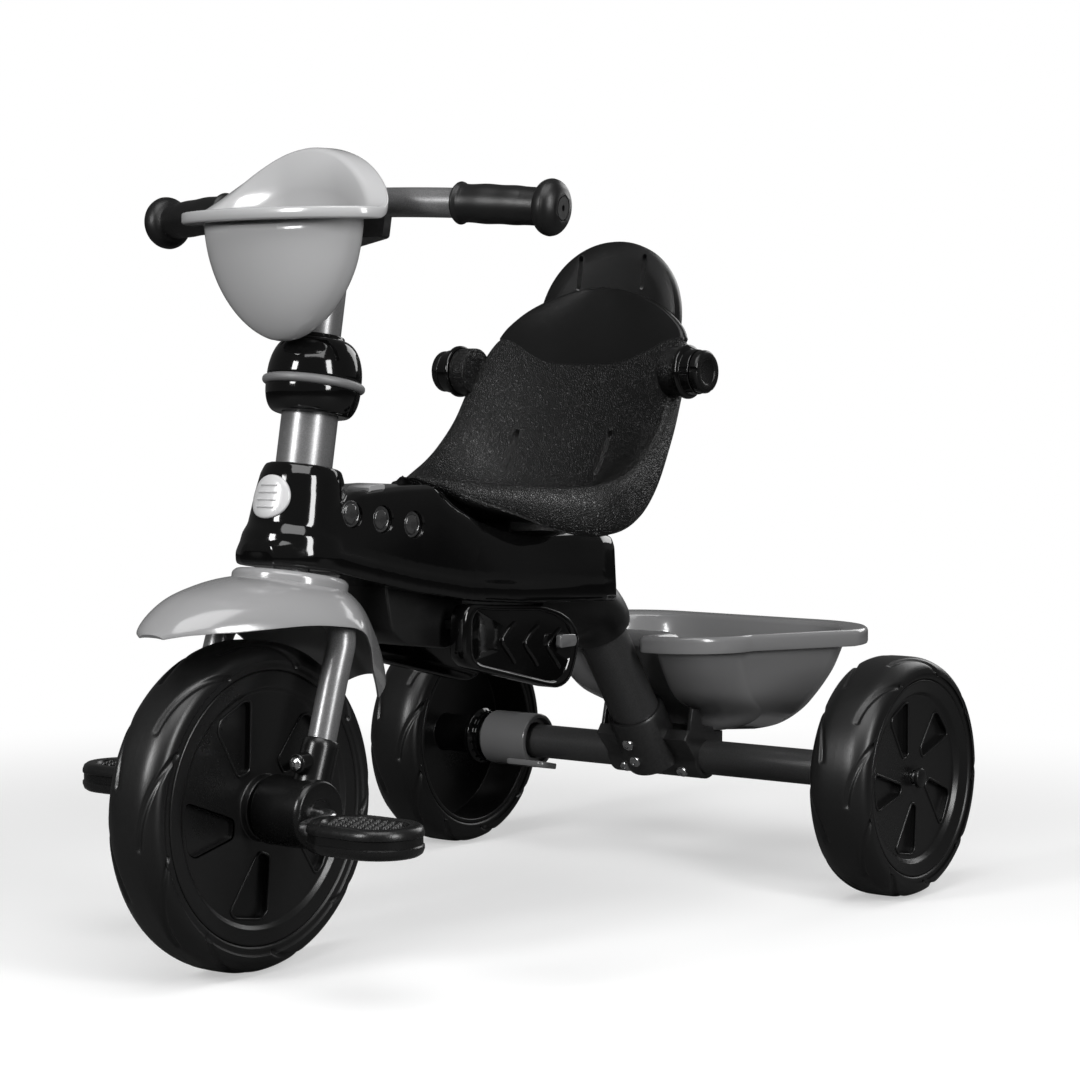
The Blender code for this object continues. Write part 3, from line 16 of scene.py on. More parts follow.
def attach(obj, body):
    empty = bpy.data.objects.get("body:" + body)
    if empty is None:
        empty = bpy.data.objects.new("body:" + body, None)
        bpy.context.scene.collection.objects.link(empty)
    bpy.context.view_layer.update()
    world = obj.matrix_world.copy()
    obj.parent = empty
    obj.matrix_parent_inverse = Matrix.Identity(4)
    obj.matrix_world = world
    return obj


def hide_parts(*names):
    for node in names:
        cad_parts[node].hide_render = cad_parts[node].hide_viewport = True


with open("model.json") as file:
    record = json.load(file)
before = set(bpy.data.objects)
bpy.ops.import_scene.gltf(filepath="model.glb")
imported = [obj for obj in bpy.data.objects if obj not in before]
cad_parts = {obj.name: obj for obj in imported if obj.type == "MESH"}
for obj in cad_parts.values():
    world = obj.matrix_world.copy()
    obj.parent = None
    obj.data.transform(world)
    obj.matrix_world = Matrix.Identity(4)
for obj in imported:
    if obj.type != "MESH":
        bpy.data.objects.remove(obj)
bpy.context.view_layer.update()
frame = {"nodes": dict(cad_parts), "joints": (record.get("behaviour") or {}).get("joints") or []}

# ---- Frame tubes -------------------------------------------------------------
# Steel tube, bent and welded: a head tube for the steering, one stout main tube
# down to the rear, and a cross tube for the axle. They are sprayed with a fine
# metallic grey paint and baked; the main and cross tubes, which run in shade
# under the body and the bucket, get a darker copy of that paint as painted shade.
# Nylon bushes and a plain steel rod run inside.
AXLE_Y = [j for j in frame["joints"] if j["name"] == "rear_left_spin"][0]["pos_m"][1]
HEAD_LEAN = math.radians(10.7)
HEAD_FOOT = (0.0, -0.5228, 0.121)
HEAD_TUBE_R = 0.0212
MAIN_TUBE_R = 0.0212
CROSS_TUBE_R = 0.0150
CROSS_TUBE_HALF = 0.190
MAIN_DROP = math.radians(54.8)
MAIN_BEND = (0.0, -0.113, 0.240)
REAR_AXLE_Z = 0.100


def at(x, y, z):
    """World point of a point measured from the rear axle."""
    return Vector((x, AXLE_Y + y, z))


def up_head(z):
    """Distance up the steering axis from its foot to height z."""
    return (z - HEAD_FOOT[2]) / math.cos(HEAD_LEAN)


def head_y(z):
    return HEAD_FOOT[1] + (z - HEAD_FOOT[2]) * math.tan(HEAD_LEAN)


HEAD = Matrix.Translation(at(*HEAD_FOOT)) @ Matrix.Rotation(-HEAD_LEAN, 4, "X")


def across(x, y, z, side=1):
    """A place on an axle, turned so that local Z points outwards on that side."""
    return Matrix.Translation(at(x, y, z)) @ Matrix.Rotation(side * math.pi / 2, 4, "Y")


def eased(profile, soften, closed):
    """Round each corner of a row of points with a short curve."""
    points = [Vector(p) for p in profile]
    out = []
    for i, corner in enumerate(points):
        if not closed and i in (0, len(points) - 1):
            out.append(corner)
            continue
        before = points[i - 1]
        after = points[(i + 1) % len(points)]
        reach = min(soften, 0.45 * (corner - before).length, 0.45 * (after - corner).length)
        a = corner + (before - corner).normalized() * reach
        b = corner + (after - corner).normalized() * reach
        for t in (0.0, 0.33, 0.67, 1.0):
            out.append(a * (1 - t) ** 2 + corner * 2 * t * (1 - t) + b * t ** 2)
    return out


def turned(profile, place, segments=96, soften=0.0008):
    """Shape turned about local Z: (radius, height) points, closed unless they start and end on it."""
    closed = profile[0][0] > 0.0
    rows = eased([(r, h, 0.0) for r, h in profile], soften, closed)
    rings = []
    for r, h, _ in rows:
        turns = [2 * math.pi * i / segments for i in range(segments)]
        rings.append([place @ Vector((r * math.cos(t), r * math.sin(t), h)) for t in turns])
    return skinned(rings + rings[:1] if closed else rings, capped=False)


def skinned(rings, capped=True):
    """Skin a row of equal closed rings."""
    count = len(rings[0])
    points = [p for ring in rings for p in ring]
    faces = []
    for row in range(len(rings) - 1):
        for i in range(count):
            j = (i + 1) % count
            faces.append((row * count + i, row * count + j, (row + 1) * count + j, (row + 1) * count + i))
    if capped:
        faces.append(tuple(range(count)))
        faces.append(tuple(range(len(points) - count, len(points))))
    return points, faces


def swept(path, radius, segments=40, looped=False):
    """Round bar along a path of world points."""
    path = [Vector(p) for p in path]
    ways = [(path[(i + 1) % len(path)] - path[i - 1]).normalized() for i in range(len(path))]
    if not looped:
        ways[0] = (path[1] - path[0]).normalized()
        ways[-1] = (path[-1] - path[-2]).normalized()
    side = ways[0].orthogonal().normalized()
    rings = []
    for i, (point, way) in enumerate(zip(path, ways)):
        side = (side - way * side.dot(way)).normalized()
        rise = way.cross(side)
        size = radius[i] if isinstance(radius, (list, tuple)) else radius
        turns = [2 * math.pi * k / segments for k in range(segments)]
        rings.append([point + (side * math.cos(t) + rise * math.sin(t)) * size for t in turns])
    return skinned(rings + rings[:1], False) if looped else skinned(rings)


def bent(corners, radius, steps=10):
    """Path through corner points, each inner corner rounded to a radius."""
    corners = [Vector(c) for c in corners]
    path = [corners[0]]
    for before, corner, after in zip(corners, corners[1:], corners[2:]):
        back = (before - corner).normalized()
        on = (after - corner).normalized()
        half = back.angle(on) / 2
        reach = radius / math.tan(half)
        centre = corner + (back + on).normalized() * (radius / math.sin(half))
        start = corner + back * reach - centre
        end = corner + on * reach - centre
        for i in range(steps + 1):
            path.append(centre + start.slerp(end, i / steps).normalized() * radius)
    return path + [corners[-1]]


def solid(name, shape, sharp=45):
    """A closed mesh object from points and faces, smooth except at real edges."""
    mesh = bpy.data.meshes.new(name)
    mesh.from_pydata([tuple(p) for p in shape[0]], [], shape[1])
    work = bmesh.new()
    work.from_mesh(mesh)
    bmesh.ops.remove_doubles(work, verts=work.verts, dist=2e-6)
    bmesh.ops.dissolve_degenerate(work, dist=1e-7, edges=work.edges)
    bmesh.ops.recalc_face_normals(work, faces=work.faces)
    work.to_mesh(mesh)
    work.free()
    thing = bpy.data.objects.new(name, mesh)
    bpy.context.scene.collection.objects.link(thing)
    return smoothed(thing, sharp)


def smoothed(thing, sharp=45):
    thing.data.shade_smooth()
    thing.data.set_sharp_from_angle(angle=math.radians(sharp))
    return thing


def settled(thing, sharp=45):
    """Fix a piece's modifiers into its mesh."""
    graph = bpy.context.evaluated_depsgraph_get()
    mesh = bpy.data.meshes.new_from_object(thing.evaluated_get(graph))
    thing.modifiers.clear()
    thing.data = mesh
    return smoothed(thing, sharp)


def carved(thing, shapes, operation="DIFFERENCE", sharp=45):
    """Cut shapes out of a piece, or join them to it."""
    for shape in shapes:
        tool = solid("tool", shape)
        modifier = thing.modifiers.new("carve", "BOOLEAN")
        modifier.operation = operation
        modifier.solver = "EXACT"
        modifier.object = tool
        settled(thing, sharp)
        bpy.data.objects.remove(tool)
    return thing


def fitted(thing, finish, body, nodes=()):
    """Give a piece its finish and let it ride in place of its CAD nodes."""
    thing.data.materials.clear()
    thing.data.materials.append(finish)
    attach(thing, body)
    if nodes:
        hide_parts(*nodes)
    return thing


def node(tree, kind, inputs=None, **settings):
    """Add a shader node; an input is given a value or the socket that feeds it."""
    made = tree.nodes.new("ShaderNode" + kind)
    for key, value in settings.items():
        setattr(made, key, value)
    for key, value in (inputs or {}).items():
        if isinstance(value, bpy.types.NodeSocket):
            tree.links.new(value, made.inputs[key])
        else:
            made.inputs[key].default_value = value
    return made


def sums(tree, operation, a, b):
    return node(tree, "Math", {0: a, 1: b}, operation=operation).outputs[0]


def effect(name, inputs, outputs):
    """An empty shader node group with its named sockets."""
    tree = bpy.data.node_groups.new(name, "ShaderNodeTree")
    for label, kind, value in inputs:
        socket = tree.interface.new_socket(name=label, in_out="INPUT", socket_type="NodeSocket" + kind)
        socket.default_value = value
    for label, kind in outputs:
        tree.interface.new_socket(name=label, in_out="OUTPUT", socket_type="NodeSocket" + kind)
    return tree, tree.nodes.new("NodeGroupInput"), tree.nodes.new("NodeGroupOutput")


# Tone: slow drift of a colour and its polish, and edges rubbed lighter by hands.
tone, given, result = effect(
    "tone_and_rub",
    [("Colour", "Color", (0.1, 0.1, 0.1, 1)), ("Rubbed", "Color", (0.3, 0.3, 0.3, 1)),
     ("Size", "Float", 20.0),
     ("Drift", "Float", 0.1), ("Rub", "Float", 0.3), ("Roughness", "Float", 0.3), ("Smears", "Float", 0.1)],
    [("Colour", "Color"), ("Roughness", "Float")])
where = node(tone, "TexCoord").outputs["Object"]
broad = node(tone, "TexNoise", {"Vector": where, "Scale": given.outputs["Size"], "Detail": 4.0}).outputs[0]
fine = node(tone, "TexNoise", {"Vector": where, "Scale": 420.0, "Detail": 3.0}).outputs[0]
ridge = node(tone, "MapRange", {0: node(tone, "NewGeometry").outputs["Pointiness"], 1: 0.51,
                                2: 0.60}).outputs[0]
worn = sums(tone, "MULTIPLY", sums(tone, "MULTIPLY", ridge, fine), given.outputs["Rub"])
swing = sums(tone, "SUBTRACT", broad, 0.5)
value = sums(tone, "ADD", sums(tone, "MULTIPLY", swing, given.outputs["Drift"]), 1.0)
tinted = node(tone, "HueSaturation", {"Value": value, "Color": given.outputs["Colour"]}).outputs[0]
mixed = node(tone, "Mix", {0: worn, 6: tinted, 7: given.outputs["Rubbed"]}, data_type="RGBA",
             clamp_factor=True)
tone.links.new(mixed.outputs[2], result.inputs["Colour"])
smear = sums(tone, "MULTIPLY", sums(tone, "ADD", swing, sums(tone, "MULTIPLY", fine, 0.3)),
             given.outputs["Smears"])
polish = sums(tone, "ADD", sums(tone, "ADD", given.outputs["Roughness"], smear),
              sums(tone, "MULTIPLY", worn, 0.3))
tone.links.new(polish, result.inputs["Roughness"])

# Relief: the skin of a moulding or a sprayed coat, from soft ripple to pebbled grain.
relief, given, result = effect(
    "surface_relief", [("Size", "Float", 400.0), ("Pebbles", "Float", 0.0)], [("Height", "Float")])
where = node(relief, "TexCoord").outputs["Object"]
ripple = node(relief, "TexNoise", {"Vector": where, "Scale": given.outputs["Size"],
                                   "Detail": 2.0}).outputs[0]
cells = node(relief, "TexVoronoi", {"Vector": where, "Scale": given.outputs["Size"]},
             feature="DISTANCE_TO_EDGE")
pebble = node(relief, "MapRange", {0: cells.outputs["Distance"], 1: 0.0, 2: 0.28},
              interpolation_type="SMOOTHSTEP")
height = node(relief, "Mix", {0: given.outputs["Pebbles"], 2: ripple, 3: pebble.outputs[0]},
              data_type="FLOAT")
relief.links.new(height.outputs[0], result.inputs["Height"])

# Flakes: each cell of a metallic paint is a touch lighter or darker than the next.
flakes, given, result = effect(
    "paint_flakes", [("Colour", "Color", (0.2, 0.2, 0.2, 1)), ("Size", "Float", 2600.0),
                     ("Glitter", "Float", 0.5)],
    [("Colour", "Color")])
where = node(flakes, "TexCoord").outputs["Object"]
cells = node(flakes, "TexVoronoi", {"Vector": where, "Scale": given.outputs["Size"]})
single = node(flakes, "SeparateColor", {0: cells.outputs["Color"]}).outputs[0]
value = sums(flakes, "ADD", sums(flakes, "MULTIPLY", sums(flakes, "SUBTRACT", single, 0.5),
                                 given.outputs["Glitter"]), 1.0)
sparkle = node(flakes, "HueSaturation", {"Value": value, "Color": given.outputs["Colour"]})
flakes.links.new(sparkle.outputs[0], result.inputs["Colour"])


def grey(shade):
    return (shade, shade * 1.0, shade * 1.01, 1.0)


def surface(name, shade, roughness, size=18.0, drift=0.25, rub=0.3, rubbed=0.2, smears=0.1,
            grain=(500.0, 0.0),
            deep=0.00004, glitter=0.0, metallic=0.0, coat=0.0, shine=0.5):
    """A finish: tone and rub over a shade, grain for its skin, flakes where it glitters."""
    material = bpy.data.materials.new(name)
    material.use_nodes = True
    tree = material.node_tree
    shader = tree.nodes["Principled BSDF"]
    skin = node(tree, "Group", node_tree=tone)
    for label, amount in (("Colour", grey(shade)), ("Rubbed", grey(rubbed)), ("Size", size),
                          ("Drift", drift),
                          ("Rub", rub), ("Roughness", roughness), ("Smears", smears)):
        skin.inputs[label].default_value = amount
    if glitter > 0.0:
        speck = node(tree, "Group", node_tree=flakes)
        speck.inputs["Colour"].default_value = grey(shade)
        speck.inputs["Glitter"].default_value = glitter
        tree.links.new(speck.outputs["Colour"], skin.inputs["Colour"])
    tree.links.new(skin.outputs["Colour"], shader.inputs["Base Color"])
    tree.links.new(skin.outputs["Roughness"], shader.inputs["Roughness"])
    form = node(tree, "Group", node_tree=relief)
    form.inputs["Size"].default_value = grain[0]
    form.inputs["Pebbles"].default_value = grain[1]
    bump = node(tree, "Bump", {"Distance": deep, "Strength": 1.0, "Height": form.outputs["Height"]})
    tree.links.new(bump.outputs["Normal"], shader.inputs["Normal"])
    shader.inputs["Metallic"].default_value = metallic
    shader.inputs["Specular IOR Level"].default_value = shine
    shader.inputs["Coat Weight"].default_value = coat
    shader.inputs["Coat Roughness"].default_value = 0.08
    return material


grey_paint = surface("grey_metallic_paint", 0.19, 0.30, rub=0.15, rubbed=0.35, glitter=0.5, metallic=0.55,
                     deep=0.00002)
# Painted shade: the same grey paint made darker, for the main and cross tubes that sit in shade under the
# body and the bucket.
shaded_grey_paint = surface("grey_metallic_paint_painted_shade", 0.060, 0.34, rub=0.15, rubbed=0.2, glitter=0.5, metallic=0.4,
                     deep=0.00002)
zinc_steel = surface("bright_zinc_steel", 0.62, 0.20, drift=0.3, rub=0.2, rubbed=0.75, metallic=1.0,
                     grain=(900.0, 0.0))
nylon_black = surface("black_nylon", 0.014, 0.45, grain=(700.0, 0.3))

fitted(solid("head_tube_painted", turned([(0.0, up_head(0.300)), (HEAD_TUBE_R, up_head(0.300)),
                                          (HEAD_TUBE_R, up_head(0.414)), (0.0, up_head(0.414))], HEAD)),
       grey_paint, "frame", ["head_tube"])
bend_point = at(*MAIN_BEND)
slope_way = Vector((0, math.cos(HEAD_LEAN), -math.sin(HEAD_LEAN)))
drop_way = Vector((0, math.cos(MAIN_DROP), -math.sin(MAIN_DROP)))
main_front = bend_point - slope_way * ((bend_point.y - AXLE_Y - head_y(0.307)) / slope_way.y)
main_foot = bend_point + drop_way * (at(0, 0, REAR_AXLE_Z) - bend_point).dot(drop_way)
main_path = bent([main_front, bend_point, main_foot - drop_way * 0.016], 0.050)
fitted(solid("main_tube_painted", swept(main_path, MAIN_TUBE_R, 64)), shaded_grey_paint, "frame", ["main_tube"])
REAR_AXLE = across(0, 0, REAR_AXLE_Z)
fitted(solid("cross_tube_painted", turned([(0.006, -CROSS_TUBE_HALF), (CROSS_TUBE_R, -CROSS_TUBE_HALF),
                                           (CROSS_TUBE_R, CROSS_TUBE_HALF), (0.006, CROSS_TUBE_HALF)],
                                           REAR_AXLE, 64)),
       shaded_grey_paint, "frame", ["rear_axle_tube"])


def finished(name, finish):
    """Give a CAD node that keeps its own shape a finish."""
    thing = frame["nodes"][name]
    thing.data.materials.clear()
    thing.data.materials.append(finish)


finished("rear_axle_rod", zinc_steel)
finished("head_bush_lower", nylon_black)
finished("head_bush_upper", nylon_black)

# ---- Rear axle bracket and its bolts ----------------------------------------
# A black moulded saddle that joins the main tube to the cross tube: a sleeve, a
# half round under the axle and two side fins, held by domed zinc socket screws.
BRACKET_HALF = 0.047
BRACKET_WALL = 0.004
SHELF = 0.0215
bracket_black = surface("bracket_black", 0.012, 0.30, rub=0.5, rubbed=0.08, grain=(650.0, 0.25),
                        deep=0.00003)


def arc(cx, cy, radius, start, end, steps):
    """Points on an arc, angles in degrees."""
    turns = [math.radians(start + (end - start) * i / steps) for i in range(steps + 1)]
    return [(cx + radius * math.cos(t), cy + radius * math.sin(t)) for t in turns]


def plate(outline, x_low, x_high, base_z=0.0, soften=0.0012):
    """Plate with a (y, z) outline from the rear axle, between two x, its rims eased."""
    low, high = sorted((x_low, x_high))
    middle = Vector((sum(p[0] for p in outline), sum(p[1] for p in outline))) / len(outline)
    rings = []
    for x, inset in ((low, 1.0), (low + soften * 0.3, 0.35), (low + soften, 0.0),
                     (high - soften, 0.0), (high - soften * 0.3, 0.35), (high, 1.0)):
        ring = []
        for y, z in outline:
            inward = (middle - Vector((y, z))).normalized() * soften * inset
            ring.append(at(x, y + inward.x, base_z + z + inward.y))
        rings.append(ring)
    return skinned(rings)


saddle_r = CROSS_TUBE_R + BRACKET_WALL
saddle = ([(-saddle_r, 0.0)] + arc(0, 0, saddle_r, 180, 270, 10)[1:] + arc(0, 0, saddle_r, 270, 360, 10)[1:]
          + [(0.024, 0.010), (0.024, SHELF - 0.0005), (0.0115, SHELF - 0.0005), (0.008, 0.026),
             (-0.030, 0.026), (-0.036, 0.018)])
bracket = solid("axle_saddle", plate(saddle, -BRACKET_HALF, BRACKET_HALF, REAR_AXLE_Z))
sleeve_top = bend_point + drop_way * ((0.143 - bend_point.z) / drop_way.z)
sleeve_r = MAIN_TUBE_R + BRACKET_WALL
sleeve_foot = main_foot - drop_way * 0.006
fins = [plate([(-0.030, 0.020), (-0.004, 0.020), (-0.014, 0.043), (-0.024, 0.045)], side * BRACKET_HALF,
              side * (BRACKET_HALF - 0.004), REAR_AXLE_Z) for side in (-1, 1)]
carved(bracket, [swept([sleeve_top, sleeve_top + drop_way * 0.002, sleeve_foot],
                       [sleeve_r - 0.0015, sleeve_r, sleeve_r], 64)]
       + fins, "UNION")
fitted(bracket, bracket_black, "frame", ["axle_bracket"])


def screw(name, seat, way, body, nodes, head=0.0055):
    """Domed socket screw standing on a point, with its hexagon recess."""
    place = Matrix.Translation(seat) @ Vector(way).to_track_quat("Z", "Y").to_matrix().to_4x4()
    dome = [(0.0, -0.0015), (head, -0.0015), (head, 0.0006)]
    dome += [(head * math.cos(t), 0.0006 + 0.0026 * math.sin(t)) for t in np.linspace(0.25, 1.05, 5)]
    dome += [(head * 0.42, 0.0031), (0.0, 0.0031)]
    thing = solid(name, turned(dome, place, 40, 0.0003))
    socket = [place @ Vector((head * 0.4 * math.cos(t), head * 0.4 * math.sin(t), h))
              for h in (0.0010, 0.0060) for t in np.linspace(0, 2 * math.pi, 7)[:-1]]
    carved(thing, [skinned([socket[:6], socket[6:]])])
    return fitted(thing, zinc_steel, body, nodes)


under_way = Vector((0, -math.sin(MAIN_DROP), -math.cos(MAIN_DROP)))
for name, reach in (("upper", 0.019), ("lower", 0.038)):
    screw("frame_screw_" + name, sleeve_top + drop_way * reach + under_way * (sleeve_r + 0.0003), under_way,
          "frame",
          ["frame_bolt_" + name])
skin_way = Vector((0, -math.cos(math.radians(40)), -math.sin(math.radians(40))))
for side, x in (("left", 0.030), ("right", -0.030)):
    screw("axle_screw_" + side, at(x, 0, REAR_AXLE_Z) + skin_way * (saddle_r + 0.0003), skin_way, "frame",
          ["axle_bolt_" + side])

# ---- Body cover and neck -----------------------------------------------------
# One hollow gloss black moulding from the nose back under the seat. Its lower
# edge stands out as a smooth band, and its front rises into a tapered neck that
# sleeves the head tube. It is screwed down on the frame from below.
WIDTHS = [(-0.529, 0.016), (-0.522, 0.028), (-0.508, 0.0375), (-0.4875, 0.0415), (-0.440, 0.0430),
          (-0.390, 0.048),
          (-0.330, 0.056), (-0.280, 0.058), (-0.170, 0.058), (-0.150, 0.0545), (-0.138, 0.046),
          (-0.131, 0.032)]
FLOORS = [(-0.529, 0.296), (-0.4875, 0.290), (-0.449, 0.281), (-0.400, 0.270), (-0.345, 0.260),
          (-0.280, 0.254),
          (-0.131, 0.246)]
DECKS = [(-0.529, 0.312), (-0.508, 0.316), (-0.4875, 0.335), (-0.450, 0.3475), (-0.400, 0.350),
         (-0.372, 0.350),
         (-0.352, 0.336), (-0.325, 0.322), (-0.285, 0.3105), (-0.200, 0.3085), (-0.170, 0.3065),
         (-0.150, 0.303),
         (-0.131, 0.294)]
BODY_FRONT_Y = -0.529
BODY_REAR_Y = -0.131
BODY_SECTIONS = 90
BAND_TALL = 0.015
BAND_PROUD = 0.003
BAND_FADE = [(-0.300, BAND_PROUD), (-0.200, 0.0004)]    # it runs out towards the rear
NECK = [(0.0385, 0.294), (0.0415, 0.298), (0.0395, 0.313), (0.0362, 0.320), (0.0335, 0.345),
        (0.0313, 0.358),
        (0.0283, 0.3655), (0.0268, 0.366)]
gloss_black = surface("gloss_black_plastic", 0.0025, 0.07, size=9.0, drift=0.5, rub=0.12, rubbed=0.015,
                      smears=0.05,
                      grain=(60.0, 0.0), deep=0.000012)


def between(value, table):
    places, sizes = zip(*table)
    return float(np.interp(value, places, sizes))


def body_section(y):
    half = between(y, WIDTHS)
    floor = between(y, FLOORS)
    deck = between(y, DECKS)
    proud = between(y, BAND_FADE)
    wall = half - proud
    band = min(BAND_TALL, (deck - floor) * 0.6)
    side = [(half - 0.0015, floor), (half, floor + 0.003), (half, floor + band - 0.002),
            (wall, floor + band + 0.0035),
            (wall - 0.0015, max(deck - 0.010, floor + band + 0.006)), (wall - 0.0045, deck - 0.003),
            (wall - 0.012, deck)]
    return [at(x, y, z) for x, z in side] + [at(-x, y, z) for x, z in side[::-1]]


body = solid("body_moulding", skinned([body_section(y) for y in np.linspace(BODY_FRONT_Y, BODY_REAR_Y,
                                                                            BODY_SECTIONS)]))
neck = turned([(0.0, up_head(0.296))] + [(r, up_head(z)) for r, z in NECK] + [(0.0, up_head(0.3662))], HEAD,
              96)
carved(body, [neck], "UNION")
VOXEL = 0.0013
EASE_PASSES = 14
remesh = body.modifiers.new("skin", "REMESH")
remesh.mode = "VOXEL"
remesh.voxel_size = VOXEL
ease = body.modifiers.new("ease", "SMOOTH")
ease.factor = 0.5
ease.iterations = EASE_PASSES
settled(body)
LENS_R = 0.0105
LENSES = [(-0.465 + 0.0325 * i, 0.3315 - 0.0052 * i) for i in range(3)]
POCKET = [(0.0, -0.0035), (LENS_R, -0.0035), (LENS_R, 0.0), (LENS_R + 0.0012, 0.0012),
          (LENS_R + 0.003, 0.01), (0.0, 0.01)]


def lens_places(side):
    """Where the lenses of one flank sit on its wall."""
    return [across(side * (between(y, WIDTHS) - BAND_PROUD - 0.001), y, z, side) for y, z in LENSES]


pockets = [turned(POCKET, place, 48, 0.0004) for side in (1, -1) for place in lens_places(side)]
carved(body, pockets, sharp=38)
fitted(body, gloss_black, "frame", ["body_cover"])

# ---- Lower cover -------------------------------------------------------------
# A satin black tray that closes the body from below and ends in a boot, a round
# sleeve where the bare main tube comes out.
satin_black = surface("satin_black_plastic", 0.0038, 0.33, rub=0.3, rubbed=0.06, grain=(700.0, 0.2),
                      deep=0.00003)
boot_path = bent([bend_point - slope_way * 0.10, bend_point, bend_point + drop_way * 0.027], 0.050)
boot = solid("frame_boot", swept(boot_path, [0.029] * (len(boot_path) - 1) + [0.0275], 64))
fitted(boot, satin_black, "frame", ["lower_cover"])
tray = []
for y in (-0.3155, -0.285, -0.24, -0.200, -0.170, -0.150):
    half = between(y, WIDTHS) - 0.0063
    low = between(y, FLOORS) - 0.0005
    tray.append([at(x, y, z) for x, z in ((-half, low), (half, low), (half, low + 0.004),
                                          (-half, low + 0.004))])
fitted(solid("cover_tray", skinned(tray)), satin_black, "frame")

# ---- Badge, label and side lenses -------------------------------------------
# A light grey oval pressed into the neck with plain raised bars, a thin silver
# plate on the deck behind the neck, and three round grey lenses on each flank
# that sit deep in their pockets.
badge_grey = surface("badge_grey", 0.50, 0.22, drift=0.08, rub=0.1, rubbed=0.6, coat=0.3)
BADGE_Z = 0.339
BADGE_WRAP = 0.0352         # radius of the neck that the badge bends round


def badge_point(angle, share, proud):
    """Point of the badge, bent round the neck: share 1 is its rim."""
    wide = 0.0185 * math.cos(angle) * share
    tall = 0.0165 * math.sin(angle) * share
    bend = wide / BADGE_WRAP
    radius = BADGE_WRAP - 0.0007 - tall * 0.09 + proud
    return HEAD @ Vector((radius * math.sin(bend), -radius * math.cos(bend), up_head(BADGE_Z) + tall))


turns = np.linspace(0, 2 * math.pi, 65)[:-1]
badge_rows = [(1.0, -0.004), (1.0, 0.0006), (0.97, 0.0014), (0.92, 0.0018), (0.7, 0.0022), (0.4, 0.0024),
              (0.05, 0.0025)]
fitted(solid("neck_badge_oval", skinned([[badge_point(t, share, proud) for t in turns] for share,
                                         proud in badge_rows])),
       badge_grey, "frame", ["neck_badge"])
badge_mark = surface("badge_mark", 0.62, 0.16, rub=0.1, rubbed=0.7, metallic=0.3)
for number in range(4):
    rise = 0.0085 - 0.0055 * number
    wide = 0.0090 - 0.0010 * abs(number - 1.5)
    bar = []
    for x in np.linspace(-wide, wide, 9):
        bend = x / BADGE_WRAP
        radius = BADGE_WRAP + 0.0016 - rise * 0.09
        bar.append(HEAD @ Vector((radius * math.sin(bend), -radius * math.cos(bend),
                                  up_head(BADGE_Z) + rise)))
    fitted(solid("badge_bar_%d" % number, swept(bar, 0.0009, 12)), badge_mark, "frame")

label_silver = surface("label_silver", 0.66, 0.18, rub=0.15, rubbed=0.8, metallic=0.6, drift=0.1)
label_low = []
for along, rise in ((-0.4385, 0.3490), (-0.4360, 0.3506), (-0.4225, 0.3514), (-0.4200, 0.3508)):
    label_low.append([at(x, along, rise + h) for x, h in ((0.010, -0.003), (0.031, -0.003), (0.031, 0.0004),
                                                         (0.0305, 0.0009), (0.0105, 0.0009),
                                                         (0.010, 0.0004))])
fitted(solid("deck_label_plate", skinned(label_low)), label_silver, "frame")

LENS_DOME = [(0.0, -0.0042), (LENS_R - 0.0005, -0.0042), (LENS_R - 0.0005, -0.0022),
             (LENS_R - 0.0016, -0.0022),
             (LENS_R - 0.0024, -0.0030), (LENS_R - 0.0032, -0.0014), (LENS_R * 0.35, -0.0004),
             (0.0, -0.0003)]
lens_grey = surface("lens_grey", 0.030, 0.10, drift=0.2, rub=0.0, coat=0.8, grain=(250.0, 0.0))
for side, sign in (("left", 1), ("right", -1)):
    lens_parts = [turned(LENS_DOME, place, 48, 0.0005) for place in lens_places(sign)]
    lens = solid("lens_%s_front" % side, lens_parts[0])
    fitted(lens, lens_grey, "frame", ["lens_strip_" + side])
    for name, shape in zip(("middle", "rear"), lens_parts[1:]):
        fitted(solid("lens_%s_%s" % (side, name), shape), lens_grey, "frame")

# ---- Ball collar -------------------------------------------------------------
# Two gloss black half shells that hide the head joint, with a grey soft rubber
# ring pinched between them. The lower shell and ring stay with the frame, and
# the upper shell turns with the stem.
BALL_R = 0.0355
BALL_RING_R = 0.0385
ring_middle = up_head(0.427)
ring_low = ring_middle - 0.0035
ring_high = ring_middle + 0.0035
ball_foot = up_head(0.414) - 0.010
lower_shell = [(HEAD_TUBE_R - 0.002, ball_foot), (0.0262, ball_foot)]
lower_shell += [(0.0262 + (BALL_R - 0.0262) * math.sin(t), ring_low - (ring_low - ball_foot) * math.cos(t))
                for t in np.linspace(0.25, 1.5, 9)]
lower_shell += [(BALL_R, ring_low), (HEAD_TUBE_R - 0.002, ring_low)]
fitted(solid("ball_lower_shell", turned(lower_shell, HEAD, 128, 0.0012)), gloss_black, "frame",
       ["ball_lower"])
ring_rubber = surface("ring_rubber", 0.155, 0.42, rub=0.2, rubbed=0.3, grain=(600.0, 0.2))
fitted(solid("ball_rubber_ring", turned([(0.020, ring_low), (BALL_R + 0.0003, ring_low),
                                         (BALL_RING_R, ring_low + 0.0018),
                                         (BALL_RING_R, ring_high - 0.0018), (BALL_R + 0.0003, ring_high),
                                         (0.020, ring_high)], HEAD, 128, 0.0018)),
       ring_rubber, "frame", ["ball_ring"])
ball_top = up_head(0.463)
dome_low = ring_high + 0.0006
upper_shell = [(0.0155, dome_low), (BALL_R, dome_low)]
upper_shell += [(0.0195 + (BALL_R - 0.0195) * math.cos(t),
                 dome_low + (ball_top - 0.003 - dome_low) * math.sin(t))
                for t in np.linspace(0.15, 1.45, 12)]
upper_shell += [(0.0195, ball_top - 0.0028), (0.0190, ball_top), (0.0155, ball_top)]
fitted(solid("ball_upper_shell", turned(upper_shell, HEAD, 128, 0.0010)), gloss_black, "steering",
       ["ball_upper"])

